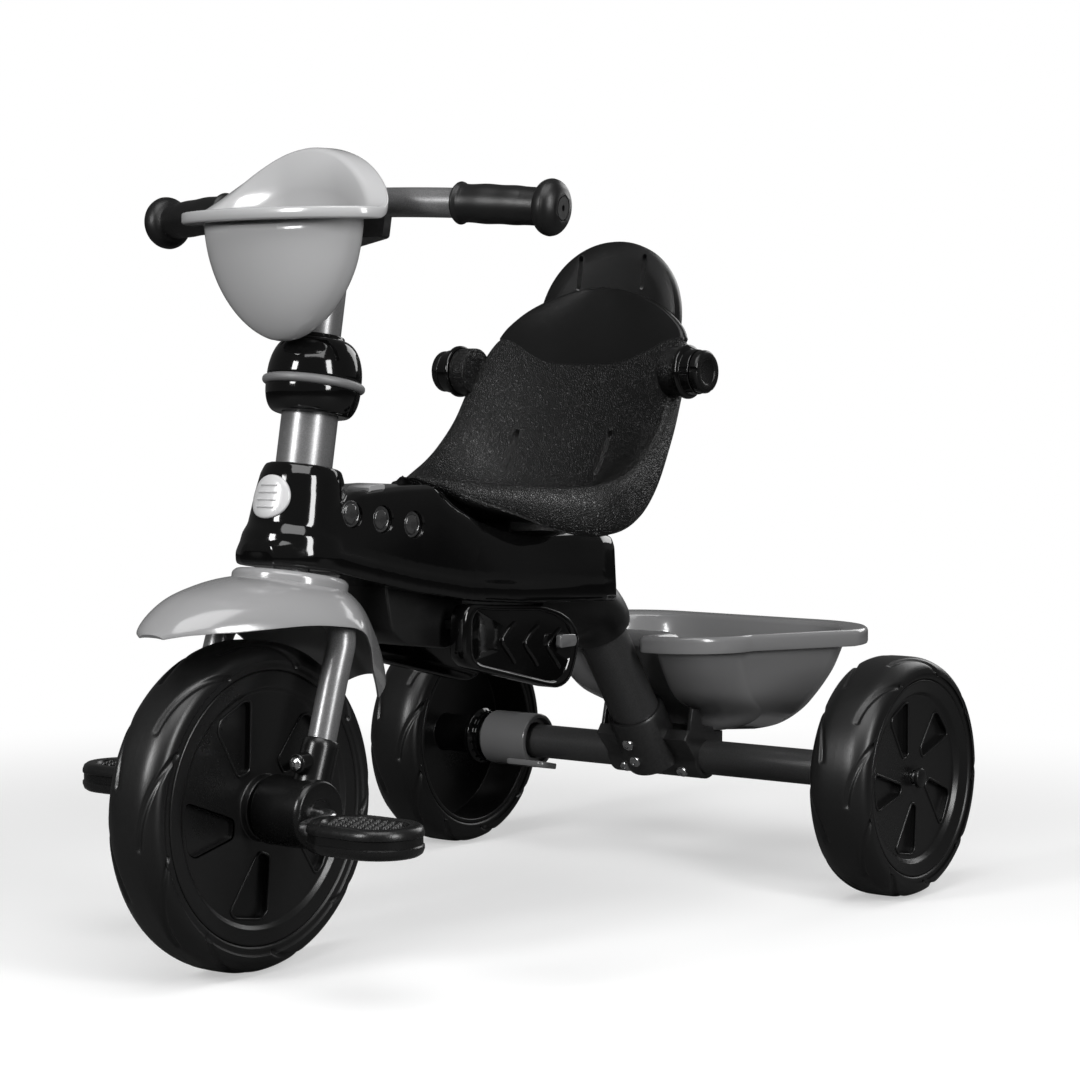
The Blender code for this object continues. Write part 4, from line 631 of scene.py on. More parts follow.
# ---- Stem, handlebar and grips ----------------------------------------------
# The stem is a grey painted tube clamped on the bright steerer. The bar is one
# thinner tube, swept back a little at its ends, and each end carries a moulded
# black rubber grip with finger waves, an inner flange and a round end knob.
STEM_R = 0.0160
BAR_R = 0.0110
BAR_HALF = 0.1985
BAR_Z = 0.562
BAR_SWEEP = 0.018
BAR_FALL = 0.009
GRIP_LENGTH = 0.086
GRIP_R = 0.0142
GRIP_END_R = 0.0205
GRIP_KNOB_FROM = 0.895      # share of the grip where its end knob is widest
finished("steerer_tube", zinc_steel)
fitted(solid("stem_painted", turned([(0.0, dome_low + 0.004), (STEM_R, dome_low + 0.004),
                                     (STEM_R, up_head(BAR_Z) - 0.001),
                                     (0.0, up_head(BAR_Z) - 0.001)], HEAD, 80)),
       grey_paint, "steering", ["stem_tube"])
bar_y = head_y(BAR_Z)


def bar_point(x, side=1):
    share = (x / BAR_HALF) ** 2
    return at(side * x, bar_y + BAR_SWEEP * share, BAR_Z - BAR_FALL * share)


fitted(solid("handlebar_painted", swept([bar_point(x) for x in np.linspace(-0.1945, 0.1945, 61)], BAR_R,
                                        48)),
       grey_paint, "steering", ["handlebar"])
grip_black = surface("grip_rubber", 0.0050, 0.36, rub=0.3, rubbed=0.02, smears=0.2, grain=(900.0, 0.3),
                     deep=0.00004, shine=0.35)
for name, side in (("left", 1), ("right", -1)):
    path = []
    sizes = []
    for step in np.linspace(0.0, 1.0, 170):
        inward = GRIP_LENGTH * (1.0 - step)
        path.append(bar_point(BAR_HALF - inward, side))
        flange = 0.0018 * math.exp(-((step - 0.035) / 0.022) ** 2)
        waves = 0.00022 * math.cos(step * 2 * math.pi * 3.5) * float(0.1 < step < 0.66)
        swell = 0.0006 * math.sin(math.pi * min(1.0, step / 0.7))
        size = GRIP_R - 0.0004 + flange + waves + swell
        dome = (step - GRIP_KNOB_FROM) / (1.0 - GRIP_KNOB_FROM)
        if -1.0 < dome < 0.0:
            size = max(size, GRIP_R - 0.001 + 0.0075 * math.sqrt(1.0 - dome ** 2))
        if dome >= 0.0:
            size = GRIP_END_R * math.sqrt(1.0 - 0.55 * dome ** 2)
        if step < 0.012:
            size -= 0.0012 * (1.0 - step / 0.012)
        sizes.append(size)
    grip = solid("grip_%s_rubber" % name, swept(path, sizes, 64), 60)
    end = (bar_point(BAR_HALF, side) - bar_point(BAR_HALF - 0.01, side)).normalized()
    face = Matrix.Translation(bar_point(BAR_HALF, side)) @ end.to_track_quat("Z", "Y").to_matrix().to_4x4()
    carved(grip, [turned([(0.0, -0.0025), (0.0022, -0.0025), (0.0022, 0.004), (0.0, 0.004)], face, 24),
                  turned([(0.0085, -0.0007), (0.0095, -0.0007), (0.0095, 0.004), (0.0085, 0.004)], face, 64,
                         0.0002)],
           sharp=60)
    fitted(grip, grip_black, "steering", ["grip_" + name])

# ---- Front basket and its bracket -------------------------------------------
# A small light grey tub, blow-smooth inside and out, with a rolled lip that
# climbs at the back. It hangs on a black bracket clamped to stem and bar.
BASKET_HALF = 0.0925
BASKET_DEPTH = 0.092
BASKET_Z = 0.551
BASKET_FOOT_Z = 0.459
BASKET_TUB_HALF = 0.0725
BASKET_TUB_DEPTH = 0.069
BASKET_WALL = 0.003
BASKET_RISE = 0.048
BASKET_MIDDLE = -0.498
basket_grey = surface("basket_grey_plastic", 0.36, 0.17, size=7.0, drift=0.06, rub=0.08, rubbed=0.5,
                      smears=0.06,
                      grain=(45.0, 0.0), deep=0.00004, coat=0.35)


def stem_front(z):
    return head_y(z) - STEM_R / math.cos(HEAD_LEAN)


def basket_loop(half, depth, front, z, back, rise, steps=120):
    """Oval cut flat against the stem, lifted at its back in an arch."""
    loop = []
    for i in range(steps):
        turn = 2 * math.pi * i / steps
        y = front + depth / 2 - depth / 2 * math.cos(turn)
        over = y - back
        y = min(y, back - 0.0015 * (1 - math.exp(-max(0.0, -over) / 0.004)) if over < 0 else back)
        lift = rise * max(0.0, -math.cos(turn)) ** 1.8
        loop.append(at(half * math.sin(turn), y, z + lift))
    return loop


def basket_level(share, inset=0.0):
    belly = (1.0 - (1.0 - share) ** 2.0) ** 0.60
    half = 0.004 + (BASKET_TUB_HALF - 0.004) * belly
    depth = 0.006 + (BASKET_TUB_DEPTH - 0.006) * belly
    z = BASKET_FOOT_Z + (BASKET_Z - BASKET_FOOT_Z) * share
    lift = BASKET_RISE * max(0.0, share - 0.6) / 0.4
    return basket_loop(half - inset, depth - 2 * inset, BASKET_MIDDLE - depth / 2 + inset, z + inset * 0.6,
                       stem_front(z) - 0.0055 - inset, lift)


shares = [0.0] + [0.9 * (i / 26) ** 1.5 + 0.012 for i in range(27)]
foot_at = at(0, BASKET_MIDDLE, BASKET_FOOT_Z)
loops = [[foot_at + (p - foot_at) * k for p in basket_level(0.0)] for k in (0.02, 0.5)]
loops += [basket_level(share) for share in shares]
rim_back = stem_front(BASKET_Z + BASKET_RISE) + 0.0005
for inset, drop in ((0.0170, -0.0050), (0.0022, -0.0052), (0.0007, -0.0047), (0.0, -0.0036), (0.0, 0.0020),
                    (0.0007, 0.0031),
                    (0.0022, 0.0035), (0.0120, 0.0034), (0.0150, 0.0028), (0.0185, 0.0002)):
    loops.append(basket_loop(BASKET_HALF - inset, BASKET_DEPTH - 2 * inset,
                             BASKET_MIDDLE - BASKET_DEPTH / 2 + inset,
                             BASKET_Z + drop, rim_back - inset * 0.4, BASKET_RISE))
inside = [basket_level(share, BASKET_WALL) for share in shares[:-1]][::-1]
floor_at = at(0, BASKET_MIDDLE, BASKET_FOOT_Z + BASKET_WALL)
inside += [[floor_at + (p - floor_at) * k for p in basket_level(0.0, BASKET_WALL)] for k in (0.5, 0.02)]
fitted(solid("basket_tub", skinned(loops + inside), 60), basket_grey, "steering", ["basket"])
clamp_place = HEAD @ Matrix.Translation((0, -(STEM_R + 0.0052), up_head(0.531)))
clamp_plan = [(-0.068, 0.0), (0.068, 0.0), (0.068, 0.008), (0.024, 0.030), (-0.024, 0.030), (-0.068, 0.008)]
clamp_rings = [[clamp_place @ Vector((x * k, 0.012 + (y - 0.012) * k, h)) for x, y in clamp_plan]
               for h, k in ((0.0, 0.96), (0.0006, 0.985), (0.0018, 1.0), (0.0162, 1.0), (0.0174, 0.985),
                            (0.018, 0.96))]
fitted(solid("basket_clamp", skinned(clamp_rings)), satin_black, "steering", ["basket_bracket"])

# ---- Fork and its lower ends ------------------------------------------------
# One grey painted tube bent into an arch over the wheel. Each leg is pushed
# into a black moulded end: a drum round the crank, a sleeve for the leg and a
# small boss whose zinc screw locks them.
FORK_X = 0.060
FORK_R = 0.0105
FORK_Z = 0.262
crown = at(0, head_y(FORK_Z), FORK_Z)


def leg(side):
    x = side * FORK_X
    return [Vector((x, crown.y, FORK_Z)), at(x, -0.5135, 0.214), at(x, -0.5265, 0.172),
            at(x, -0.5385, 0.140)]


left_leg = leg(1)
right_leg = leg(-1)
fitted(solid("fork_arch", swept(bent(left_leg[::-1] + right_leg, 0.028, 10), FORK_R, 56)), grey_paint,
       "steering",
       ["fork_tube"])
WHEEL_BACK = -0.5445
FRONT_AXLE_Z = 0.121
fork_black = surface("fork_end_black", 0.0040, 0.24, rub=0.3, rubbed=0.05, grain=(500.0, 0.15),
                     deep=0.00003, shine=0.35)
for name, side, points in (("left", 1, left_leg), ("right", -1, right_leg)):
    axle = across(0, WHEEL_BACK, FRONT_AXLE_Z, side)
    drum = solid("fork_drum_" + name, turned([(0.0, 0.029), (0.0255, 0.029), (0.0255, 0.0715),
                                              (0.0235, 0.075), (0.012, 0.075),
                                              (0.0105, 0.0735), (0.0, 0.0735)], axle, 96, 0.0016))
    way = (points[2] - points[3]).normalized()
    top = points[2] - way * 0.0005
    sleeve = swept([top, top - way * 0.0012, top - way * 0.006, points[3] - way * 0.010],
                   [0.0125, 0.0135, 0.0135, 0.0142], 56)
    boss_at = points[3] + way * 0.019
    boss_turn = Matrix.Translation(boss_at) @ Matrix.Rotation(math.pi / 2, 4, "X")
    boss = turned([(0.0, 0.004), (0.0072, 0.004), (0.0072, 0.0225), (0.0, 0.0225)], boss_turn, 48, 0.0012)
    carved(drum, [sleeve, boss], "UNION", sharp=40)
    fitted(drum, fork_black, "steering", ["fork_end_" + name])
    screw("fork_screw_" + name, boss_at - Vector((0, 0.0227, 0)), (0, -1, 0), "steering",
          ["fork_end_bolt_" + name], 0.0050)

# ---- Front fender ------------------------------------------------------------
# A grey plastic hood over the front wheel, crowned along its middle and drawn
# to a point at each end, with a round collar where it is bolted under the head.
FENDER_WALL = 0.003
FENDER = [(54, 0.1635, 0.1595, 0.012), (57, 0.1645, 0.1565, 0.023), (62, 0.166, 0.150, 0.034),
          (70, 0.167, 0.1415, 0.046),
          (82, 0.166, 0.1360, 0.059), (98, 0.169, 0.135, 0.071), (110, 0.175, 0.137, 0.073),
          (119, 0.178, 0.1340, 0.066),
          (132, 0.1755, 0.128, 0.052), (150.5, 0.1725, 0.141, 0.026)]
fender_grey = surface("fender_grey_plastic", 0.24, 0.16, size=7.0, drift=0.08, rub=0.1, rubbed=0.3,
                      smears=0.08,
                      grain=(45.0, 0.0), deep=0.00004, coat=0.4)
wheel_centre = at(0, WHEEL_BACK, FRONT_AXLE_Z)


def flowing(rows, steps):
    """More rows between a few, on one smooth curve through them all."""
    rows = [np.array(row, float) for row in rows]
    out = []
    for i in range(len(rows) - 1):
        before = rows[max(0, i - 1)]
        here, there = rows[i], rows[i + 1]
        after = rows[min(len(rows) - 1, i + 2)]
        for t in np.arange(steps) / steps:
            lean_in = (there - before) * 0.5
            lean_out = (after - here) * 0.5
            a, b = 2 * t ** 3 - 3 * t ** 2 + 1, t ** 3 - 2 * t ** 2 + t
            c, d = -2 * t ** 3 + 3 * t ** 2, t ** 3 - t ** 2
            out.append(a * here + b * lean_in + c * there + d * lean_out)
    return out + [rows[-1]]


def fender_section(angle, crown_r, edge_r, half, steps=64):
    out = Vector((0, -math.cos(math.radians(angle)), math.sin(math.radians(angle))))
    ring = []
    for wall, order in ((0.0, 1), (FENDER_WALL, -1)):
        row = []
        for i in range(steps + 1):
            share = -math.cos(math.pi * i / steps)
            reach = (1.0 - abs(share) ** 2.4) ** 0.75
            radius = edge_r + (crown_r - wall - edge_r) * reach
            row.append(wheel_centre + out * radius + Vector((share * (half - wall * 0.6), 0, 0)))
        ring += row[::order]
    return ring


fender = solid("fender_hood", skinned([fender_section(*row) for row in flowing(FENDER, 9)]), 60)
collar = [(0.0, up_head(0.262) + 0.0112), (0.019, up_head(0.262) + 0.0112), (0.019, up_head(0.2755)),
          (0.0435, up_head(0.2755)),
          (0.0435, up_head(0.287) - 0.003), (0.0405, up_head(0.287)), (0.0, up_head(0.287))]
carved(fender, [turned(collar, HEAD, 96, 0.0015)], "UNION", sharp=50)
fitted(fender, fender_grey, "steering", ["front_fender"])

# ---- Wheels: tyres -----------------------------------------------------------
# Each tyre is a hollow blow-moulded ring in satin black, snapped on its wheel.
# Its tread is smooth with curved grooves that run out over the shoulders, and a
# step where the side wall meets the wheel.
tyre_black = surface("tyre_black", 0.0052, 0.33, size=14.0, drift=0.4, rub=0.15, rubbed=0.02, smears=0.22,
                     grain=(520.0, 0.15), deep=0.00004, shine=0.45)
GROOVES = 9
GROOVE_DEEP = 0.0016
GROOVE_WIDE = 0.0022


def tyre(radius, width, seat, lean):
    """Ring of rubber about local Z; the grooves sweep one way on both sides."""
    half = width / 2
    outline = [(seat - 0.0005, half * 0.90), (seat + 0.0012, half * 0.955), (seat + 0.0045, half * 0.955),
               (seat + 0.0062, half * 0.985), (radius - 0.0130, half), (radius - 0.0085, half * 0.975),
               (radius - 0.0048, half * 0.87), (radius - 0.0018, half * 0.66),
               (radius - 0.0003, half * 0.42), (radius, 0.0)]
    side = flowing(outline, 7)
    rows = [(r, -h) for r, h in side] + [(r, h) for r, h in side[-2::-1]]
    lengths = np.concatenate([[0.0], np.cumsum([math.hypot(b[0] - a[0], b[1] - a[1]) for a,
                                                b in zip(rows, rows[1:])])])
    from_crown = np.abs(lengths - lengths[-1] / 2)
    reach = lengths[-1] / 2
    columns = 540
    rings = []
    for index, (r, h) in enumerate(rows):
        before = rows[max(0, index - 1)]
        after = rows[min(len(rows) - 1, index + 1)]
        tangent = Vector((after[0] - before[0], after[1] - before[1])).normalized()
        normal = Vector((tangent.y, -tangent.x))
        normal = -normal if normal.x * (r - seat) + normal.y * h < 0 else normal
        ring = []
        share = from_crown[index] / reach
        for column in range(columns):
            angle = 360.0 * column / columns
            cut = 0.0
            pitch = 360.0 / GROOVES
            offset = pitch / 2 if h < 0 else 0.0
            phase = ((angle * lean + offset) % pitch) / pitch
            centre_line = 0.28 + 0.62 * phase ** 1.8
            if 0.03 < phase and centre_line < 0.86:
                slope = 0.62 * 1.8 * phase ** 0.8 * reach / (radius * math.radians(pitch))
                gap = (share - centre_line) * reach / math.sqrt(1 + slope ** 2)
                fade = min(1.0, (phase - 0.03) / 0.04)
                cut = GROOVE_DEEP * fade * math.exp(-(gap / GROOVE_WIDE) ** 4)
            turn = math.radians(angle)
            rr = r - normal.x * cut
            ring.append(Vector((rr * math.cos(turn), rr * math.sin(turn), h - normal.y * cut)))
        rings.append(ring)
    inner = [[Vector((p.x * (seat - 0.0005) / math.hypot(p.x, p.y),
                      p.y * (seat - 0.0005) / math.hypot(p.x, p.y), z))
              for p in rings[0]] for z in (half * 0.85, -half * 0.85)]
    return rings + inner


def placed(rings, place):
    rings = [[place @ p for p in ring] for ring in rings]
    return skinned(rings + rings[:1], capped=False)


FRONT_R = 0.121
FRONT_WIDTH = 0.0488
FRONT_RIM = 0.1007
REAR_R = 0.100
REAR_WIDTH = 0.0546
REAR_RIM = 0.0824
REAR_X = 0.2327
fitted(solid("front_tyre_ring", placed(tyre(FRONT_R, FRONT_WIDTH, FRONT_RIM, -1),
                                       across(0, WHEEL_BACK, FRONT_AXLE_Z)), 60),
       tyre_black, "front_wheel", ["front_tyre"])
for name, side in (("left", 1), ("right", -1)):
    ring = placed(tyre(REAR_R, REAR_WIDTH, REAR_RIM, -side), across(side * REAR_X, 0, REAR_AXLE_Z, side))
    fitted(solid("rear_tyre_%s_ring" % name, ring, 60), tyre_black, "rear_wheel_" + name,
           ["rear_tyre_" + name])

# ---- Wheels: discs -----------------------------------------------------------
# Black moulded discs. Each has a raised rim, a dished middle and five leaning
# pinwheel windows with a raised bead round each one, over a darker hollow.
disc_black = surface("wheel_disc_black", 0.0060, 0.27, size=12.0, drift=0.4, rub=0.25, rubbed=0.02,
                     smears=0.12,
                     grain=(650.0, 0.2), deep=0.00003, shine=0.45)
WINDOWS = 5
WINDOW_DEEP = 0.005


def window(inner, outer):
    """Pinwheel window: a leaning blade between two radii, its corners rounded."""
    corners = [(inner, -8.0), (inner + (outer - inner) * 0.18, -16.0), (outer * 0.97, -27.0),
               (outer, -22.0),
               (outer * 0.985, -2.0), (outer * 0.93, 2.5), (inner + (outer - inner) * 0.1, 11.0)]
    flat = [(r * math.cos(math.radians(a)), r * math.sin(math.radians(a)), 0.0) for r, a in corners]
    return eased(flat, 0.0035, True)


def wheel_disc(name, profile, place, inner, outer, face, hand):
    """A turned disc with its windows sunk and a bead run round each of them."""
    disc = solid(name, turned(profile, place, 160, 0.0010))
    tools = []
    beads = []
    for number in range(WINDOWS):
        turn = Matrix.Rotation(2 * math.pi * number / WINDOWS, 4, "Z")
        flat = [turn @ Vector((p.x, p.y * hand, 0)) for p in window(inner, outer)]
        tools.append(skinned([[place @ Vector((p.x, p.y, face - WINDOW_DEEP)) for p in flat],
                              [place @ Vector((p.x, p.y, face + 0.01)) for p in flat]]))
        beads.append(swept([place @ Vector((p.x, p.y, face + 0.0001)) for p in flat], 0.0010, 10, True))
    carved(disc, tools)
    carved(disc, beads, "UNION")
    return disc


face_x = FRONT_WIDTH / 2 * 0.93
for name, side in (("left", 1), ("right", -1)):
    rim = FRONT_RIM - 0.0008
    hub = [(0.0, 0.0004), (rim, 0.0004), (rim, face_x - 0.0006), (rim - 0.0012, face_x),
           (0.0884, face_x - 0.0003),
           (0.0850, face_x - 0.0035), (0.0245, face_x - 0.0035), (0.0235, face_x + 0.0018),
           (0.0, face_x + 0.0018)]
    axle = across(0, WHEEL_BACK, FRONT_AXLE_Z, side)
    fitted(wheel_disc("front_disc_" + name, hub, axle, 0.0315, 0.0825, face_x - 0.0035, side), disc_black,
           "front_wheel",
           ["front_rim_" + name])
    out = REAR_WIDTH / 2 - 0.0019
    rim = REAR_RIM - 0.0008
    hub = [(0.0058, -0.0420), (0.017, -0.0420), (0.017, out - 0.0125), (rim - 0.0035, out - 0.0125),
           (rim - 0.0035, -out),
           (rim, -out), (rim, out - 0.0006), (rim - 0.0012, out), (0.0712, out - 0.0030),
           (0.0680, out - 0.0072),
           (0.0100, out - 0.0072), (0.0058, out - 0.0066)]
    axle = across(side * REAR_X, 0, REAR_AXLE_Z, side)
    fitted(wheel_disc("rear_disc_" + name, hub, axle, 0.0205, 0.0655, out - 0.0072, side), disc_black,
           "rear_wheel_" + name,
           ["rear_rim_" + name])
    cap = [(0.0, out - 0.0014), (0.0052, out - 0.0014), (0.0052, out - 0.0026), (0.0086, out - 0.0026),
           (0.0080, out + 0.0004)]
    cap += [(0.0078 * math.cos(t), out + 0.0004 + 0.0018 * math.sin(t))
            for t in np.linspace(0.3, 1.4, 5)] + [(0.0, out + 0.0022)]
    fitted(solid("axle_cap_%s_dome" % name, turned(cap, axle, 48, 0.0004)), disc_black,
           "rear_wheel_" + name,
           ["axle_cap_" + name])

# ---- Crank and pedals --------------------------------------------------------
# One bright steel rod bent twice runs through the front wheel. A black moulded
# pedal turns on each end: a rounded block with a ribbed edge and a tread of
# small round studs on both faces.
CRANK_R = 0.005
CRANK_TURN = math.radians(6.0)
CRANK_THROW = 0.038
CRANK_OUT = 0.088
PEDAL_IN = 0.1035
PEDAL_LONG = 0.088
PEDAL_WIDE = 0.062
PEDAL_THICK = 0.021
throw = Vector((0, -math.cos(CRANK_TURN), -math.sin(CRANK_TURN))) * CRANK_THROW
reach = PEDAL_IN + PEDAL_LONG - 0.006
corners = [wheel_centre + Vector((-reach, 0, 0)) - throw, wheel_centre + Vector((-CRANK_OUT, 0, 0)) - throw,
           wheel_centre + Vector((-CRANK_OUT, 0, 0)), wheel_centre + Vector((CRANK_OUT, 0, 0)),
           wheel_centre + Vector((CRANK_OUT, 0, 0)) + throw, wheel_centre + Vector((reach, 0, 0)) + throw]
fitted(solid("crank_rod", swept(bent(corners, 0.009, 8), CRANK_R, 40)), zinc_steel, "front_wheel",
       ["crank_axle"])
pedal_black = surface("pedal_black", 0.0045, 0.22, rub=0.45, rubbed=0.03, smears=0.2, grain=(420.0, 0.4),
                      deep=0.00005, shine=0.35)


def stadium(half_long, half_wide, steps=20):
    straight = half_long - half_wide
    return arc(straight, 0, half_wide, -90, 90, steps) + arc(-straight, 0, half_wide, 90, 270, steps)


for name, side in (("left", 1), ("right", -1)):
    centre = wheel_centre + Vector((side * (PEDAL_IN + PEDAL_LONG / 2), 0, 0)) + throw * side
    half = PEDAL_THICK / 2
    shape = [(0.0125, half - 0.0022), (0.0115, half - 0.0022), (0.0105, half - 0.0004), (0.0035, half),
             (0.0012, half - 0.0016),
             (0.0, half - 0.0048), (0.0, half - 0.0070), (0.0010, half - 0.0078), (0.0010, -half + 0.0078),
             (0.0, -half + 0.0070), (0.0, -half + 0.0048), (0.0012, -half + 0.0016), (0.0035, -half),
             (0.0105, -half + 0.0004), (0.0115, -half + 0.0022), (0.0125, -half + 0.0022)]
    loops = [[centre + Vector((x, y, h)) for x, y in stadium(PEDAL_LONG / 2 - inset,
                                                             PEDAL_WIDE / 2 - inset)]
             for inset, h in shape]
    pedal = solid("pedal_%s_block" % name, skinned(loops), 50)
    fitted(pedal, pedal_black, name + "_pedal", ["pedal_" + name])
    studs = []
    faces = []
    for face in (1, -1):
        for row in range(-2, 3):
            for column in range(-5, 6):
                x = column * 0.0066 + (0.0033 if row % 2 else 0.0)
                y = row * 0.0068
                if math.hypot(max(0.0, abs(x) - 0.013), y) > 0.0168:
                    continue
                base = len(studs)
                for h, r in ((half - 0.0030, 0.0024), (half - 0.0008, 0.0022), (half + 0.0002, 0.0015)):
                    studs += [centre + Vector((x + r * math.cos(t), y + r * math.sin(t), face * h))
                              for t in np.linspace(0, 2 * math.pi, 13)[:-1]]
                for ring in (0, 1):
                    for i in range(12):
                        a, b = base + ring * 12 + i, base + ring * 12 + (i + 1) % 12
                        faces.append((a, b, b + 12, a + 12))
                faces += [tuple(range(base, base + 12)), tuple(range(base + 24, base + 36))]
    fitted(solid("pedal_%s_studs" % name, (studs, faces), 50), pedal_black, name + "_pedal")

# ---- Parking brake -----------------------------------------------------------
# A grey plastic sleeve with a thumb tab turns on the cross tube and locks into
# the toothed black ring on the right wheel's hub.
brake_grey = surface("brake_grey_plastic", 0.13, 0.22, rub=0.2, rubbed=0.25, drift=0.1, coat=0.3)
BRAKE_R = 0.0245
lever = solid("brake_sleeve", turned([(0.0158, -0.187), (BRAKE_R - 0.001, -0.187), (BRAKE_R, -0.185),
                                      (BRAKE_R, -0.137),
                                      (BRAKE_R - 0.004, -0.136), (BRAKE_R - 0.0048, -0.141),
                                      (0.0158, -0.141)],
                                     REAR_AXLE, 96, 0.0012))
tab_place = Matrix.Translation(at(0, -0.0215, REAR_AXLE_Z - 0.0205)) @ Matrix.Rotation(math.radians(-12), 4,
                                                                                       "X")
tab_plan = eased([(-0.150, -0.012, 0), (-0.112, -0.012, 0), (-0.108, -0.006, 0), (-0.108, 0.010, 0),
                  (-0.114, 0.013, 0),
                  (-0.150, 0.013, 0)], 0.003, True)
tab = skinned([[tab_place @ Vector((-0.118 + (p.x + 0.118) * k, p.y * k, h)) for p in tab_plan]
               for h, k in ((0.0, 0.96), (0.0008, 1.0), (0.0042, 1.0), (0.005, 0.96))])
carved(lever, [tab], "UNION")
carved(lever, [turned([(0.0, -0.21), (0.0158, -0.21), (0.0158, -0.08), (0.0, -0.08)], REAR_AXLE, 96)])
fitted(lever, brake_grey, "brake", ["brake_lever"])
ring = solid("brake_tooth_ring", turned([(0.0174, -0.2045), (0.0245, -0.2045), (0.0255, -0.2025),
                                         (0.0255, -0.1995),
                                         (0.0225, -0.1965), (0.0225, -0.193), (0.0174, -0.193)], REAR_AXLE,
                                         96, 0.0006))
teeth = [turned([(0.0, -0.1985), (0.0016, -0.1985), (0.0016, -0.190), (0.0, -0.190)],
                REAR_AXLE @ Matrix.Translation((0.0225 * math.cos(t), 0.0225 * math.sin(t), 0)), 16, 0.0002)
         for t in np.linspace(0, 2 * math.pi, 19)[:-1]]
carved(ring, teeth)
fitted(ring, gloss_black, "rear_wheel_right", ["brake_ring"])

# ---- Seat shell, back panel and headrest ------------------------------------
# A deep one-piece bucket seat in black, its skin pebbled like leather and its
# sides rolled thick. A second panel is clipped behind its top, and a headrest
# stands behind that. Both shells have slim slots for the harness straps.
seat_black = surface("pebbled_black", 0.0036, 0.30, size=10.0, drift=0.35, rub=0.25, rubbed=0.015,
                     smears=0.12,
                     grain=(620.0, 1.0), deep=0.00035, shine=0.4)
SEAT_ROWS = [(0.010, -0.352, 0.3555, -0.356, 0.3545, 0.0), (0.036, -0.325, 0.3515, -0.342, 0.345, 0.004),
             (0.062, -0.294, 0.348, -0.318, 0.333, 0.009), (0.088, -0.262, 0.3455, -0.285, 0.325, 0.018),
             (0.105, -0.238, 0.347, -0.255, 0.322, 0.024), (0.1115, -0.220, 0.352, -0.225, 0.322, 0.027),
             (0.1135, -0.200, 0.361, -0.198, 0.327, 0.026), (0.113, -0.180, 0.375, -0.178, 0.339, 0.019),
             (0.111, -0.160, 0.396, -0.162, 0.359, 0.007), (0.108, -0.142, 0.426, -0.147, 0.388, 0.002),
             (0.103, -0.123, 0.452, -0.133, 0.418, 0.0), (0.098, -0.115, 0.463, -0.123, 0.441, 0.0)]
PANEL_ROWS = [(0.097, -0.1135, 0.4645, -0.1225, 0.4425), (0.090, -0.1095, 0.4745, -0.112, 0.464),
              (0.072, -0.105, 0.488, -0.104, 0.482), (0.048, -0.100, 0.499, -0.099, 0.495),
              (0.022, -0.096, 0.506, -0.0955, 0.505)]


def shell(rows, wall, side_wall, roll, across_steps=56, steps=7):
    """Bowl with two skins, thicker at its sides, its edge rolled half round.

    A row is its half width, the side's place, the middle's place and its apron,
    how much lower the side's underside hangs there.
    """
    rows = flowing([tuple(row) + (0.0,) * (6 - len(row)) for row in rows], steps)
    grid = []
    for half, edge_y, edge_z, mid_y, mid_z, _ in rows:
        line = []
        roll_here = min(roll, half * 0.25)
        for i in range(across_steps + 1):
            share = -math.cos(math.pi * i / across_steps)
            share = math.copysign(abs(share) ** 0.85, share)
            rise = 0.5 - 0.5 * math.cos(math.pi * abs(share) ** 1.7)
            line.append(np.array(at((half - roll_here) * share, mid_y + (edge_y - mid_y) * rise,
                                    mid_z + (edge_z - mid_z) * rise)))
        grid.append(line)
    grid = np.array(grid)
    normal = np.cross(np.gradient(grid, axis=1), np.gradient(grid, axis=0))
    normal /= np.linalg.norm(normal, axis=2, keepdims=True) + 1e-12
    if normal[len(rows) // 2, across_steps // 2, 1] > 0:
        normal = -normal
    share = np.abs(-np.cos(np.pi * np.arange(across_steps + 1) / across_steps))
    thick = np.interp(share, [0.0, 0.4, 0.85, 1.0], [wall, wall, side_wall, side_wall])[None, :, None]
    slim = np.clip(np.array([row[0] for row in rows]) * 0.4 / side_wall, 0.0, 1.0)
    under = grid - normal * thick * slim[:, None, None]
    aprons = np.array([max(0.0, row[5]) for row in rows])
    under[:, :, 2] -= np.interp(share, [0.55, 0.85], [0.0, 1.0])[None, :] * aprons[:, None]
    lines, columns = grid.shape[:2]
    border = ([(i, columns - 1) for i in range(lines)]
              + [(lines - 1, j) for j in range(columns - 2, -1, -1)]
              + [(i, 0) for i in range(lines - 2, -1, -1)] + [(0, j) for j in range(1, columns - 1)])
    centre = grid.mean(axis=(0, 1))
    points = [tuple(p) for p in grid.reshape(-1, 3)] + [tuple(p) for p in under.reshape(-1, 3)]
    faces = []
    for base in (0, lines * columns):
        for i in range(lines - 1):
            for j in range(columns - 1):
                a = base + i * columns + j
                faces.append((a, a + 1, a + columns + 1, a + columns))
    previous = [i * columns + j for i, j in border]
    for step in range(1, 7):
        turn = math.pi * step / 7
        current = []
        for i, j in border:
            top, low = grid[i, j], under[i, j]
            nearby = grid[min(max(i, 1), lines - 2), min(max(j, 1), columns - 2)]
            out = (top - nearby) - normal[i, j] * np.dot(top - nearby, normal[i, j])
            out /= np.linalg.norm(out) + 1e-9
            bulge = min(roll, rows[i][0] * 0.25, np.linalg.norm(top - low) / 2 * 0.9)
            middle = (top + low) / 2
            current.append(len(points))
            points.append(tuple(middle + (top - middle) * math.cos(turn) + out * bulge * math.sin(turn)))
        for a, b, c, d in zip(previous, previous[1:] + previous[:1], current[1:] + current[:1], current):
            faces.append((a, b, c, d))
        previous = current
    last = [lines * columns + i * columns + j for i, j in border]
    for a, b, c, d in zip(previous, previous[1:] + previous[:1], last[1:] + last[:1], last):
        faces.append((a, b, c, d))
    return points, faces


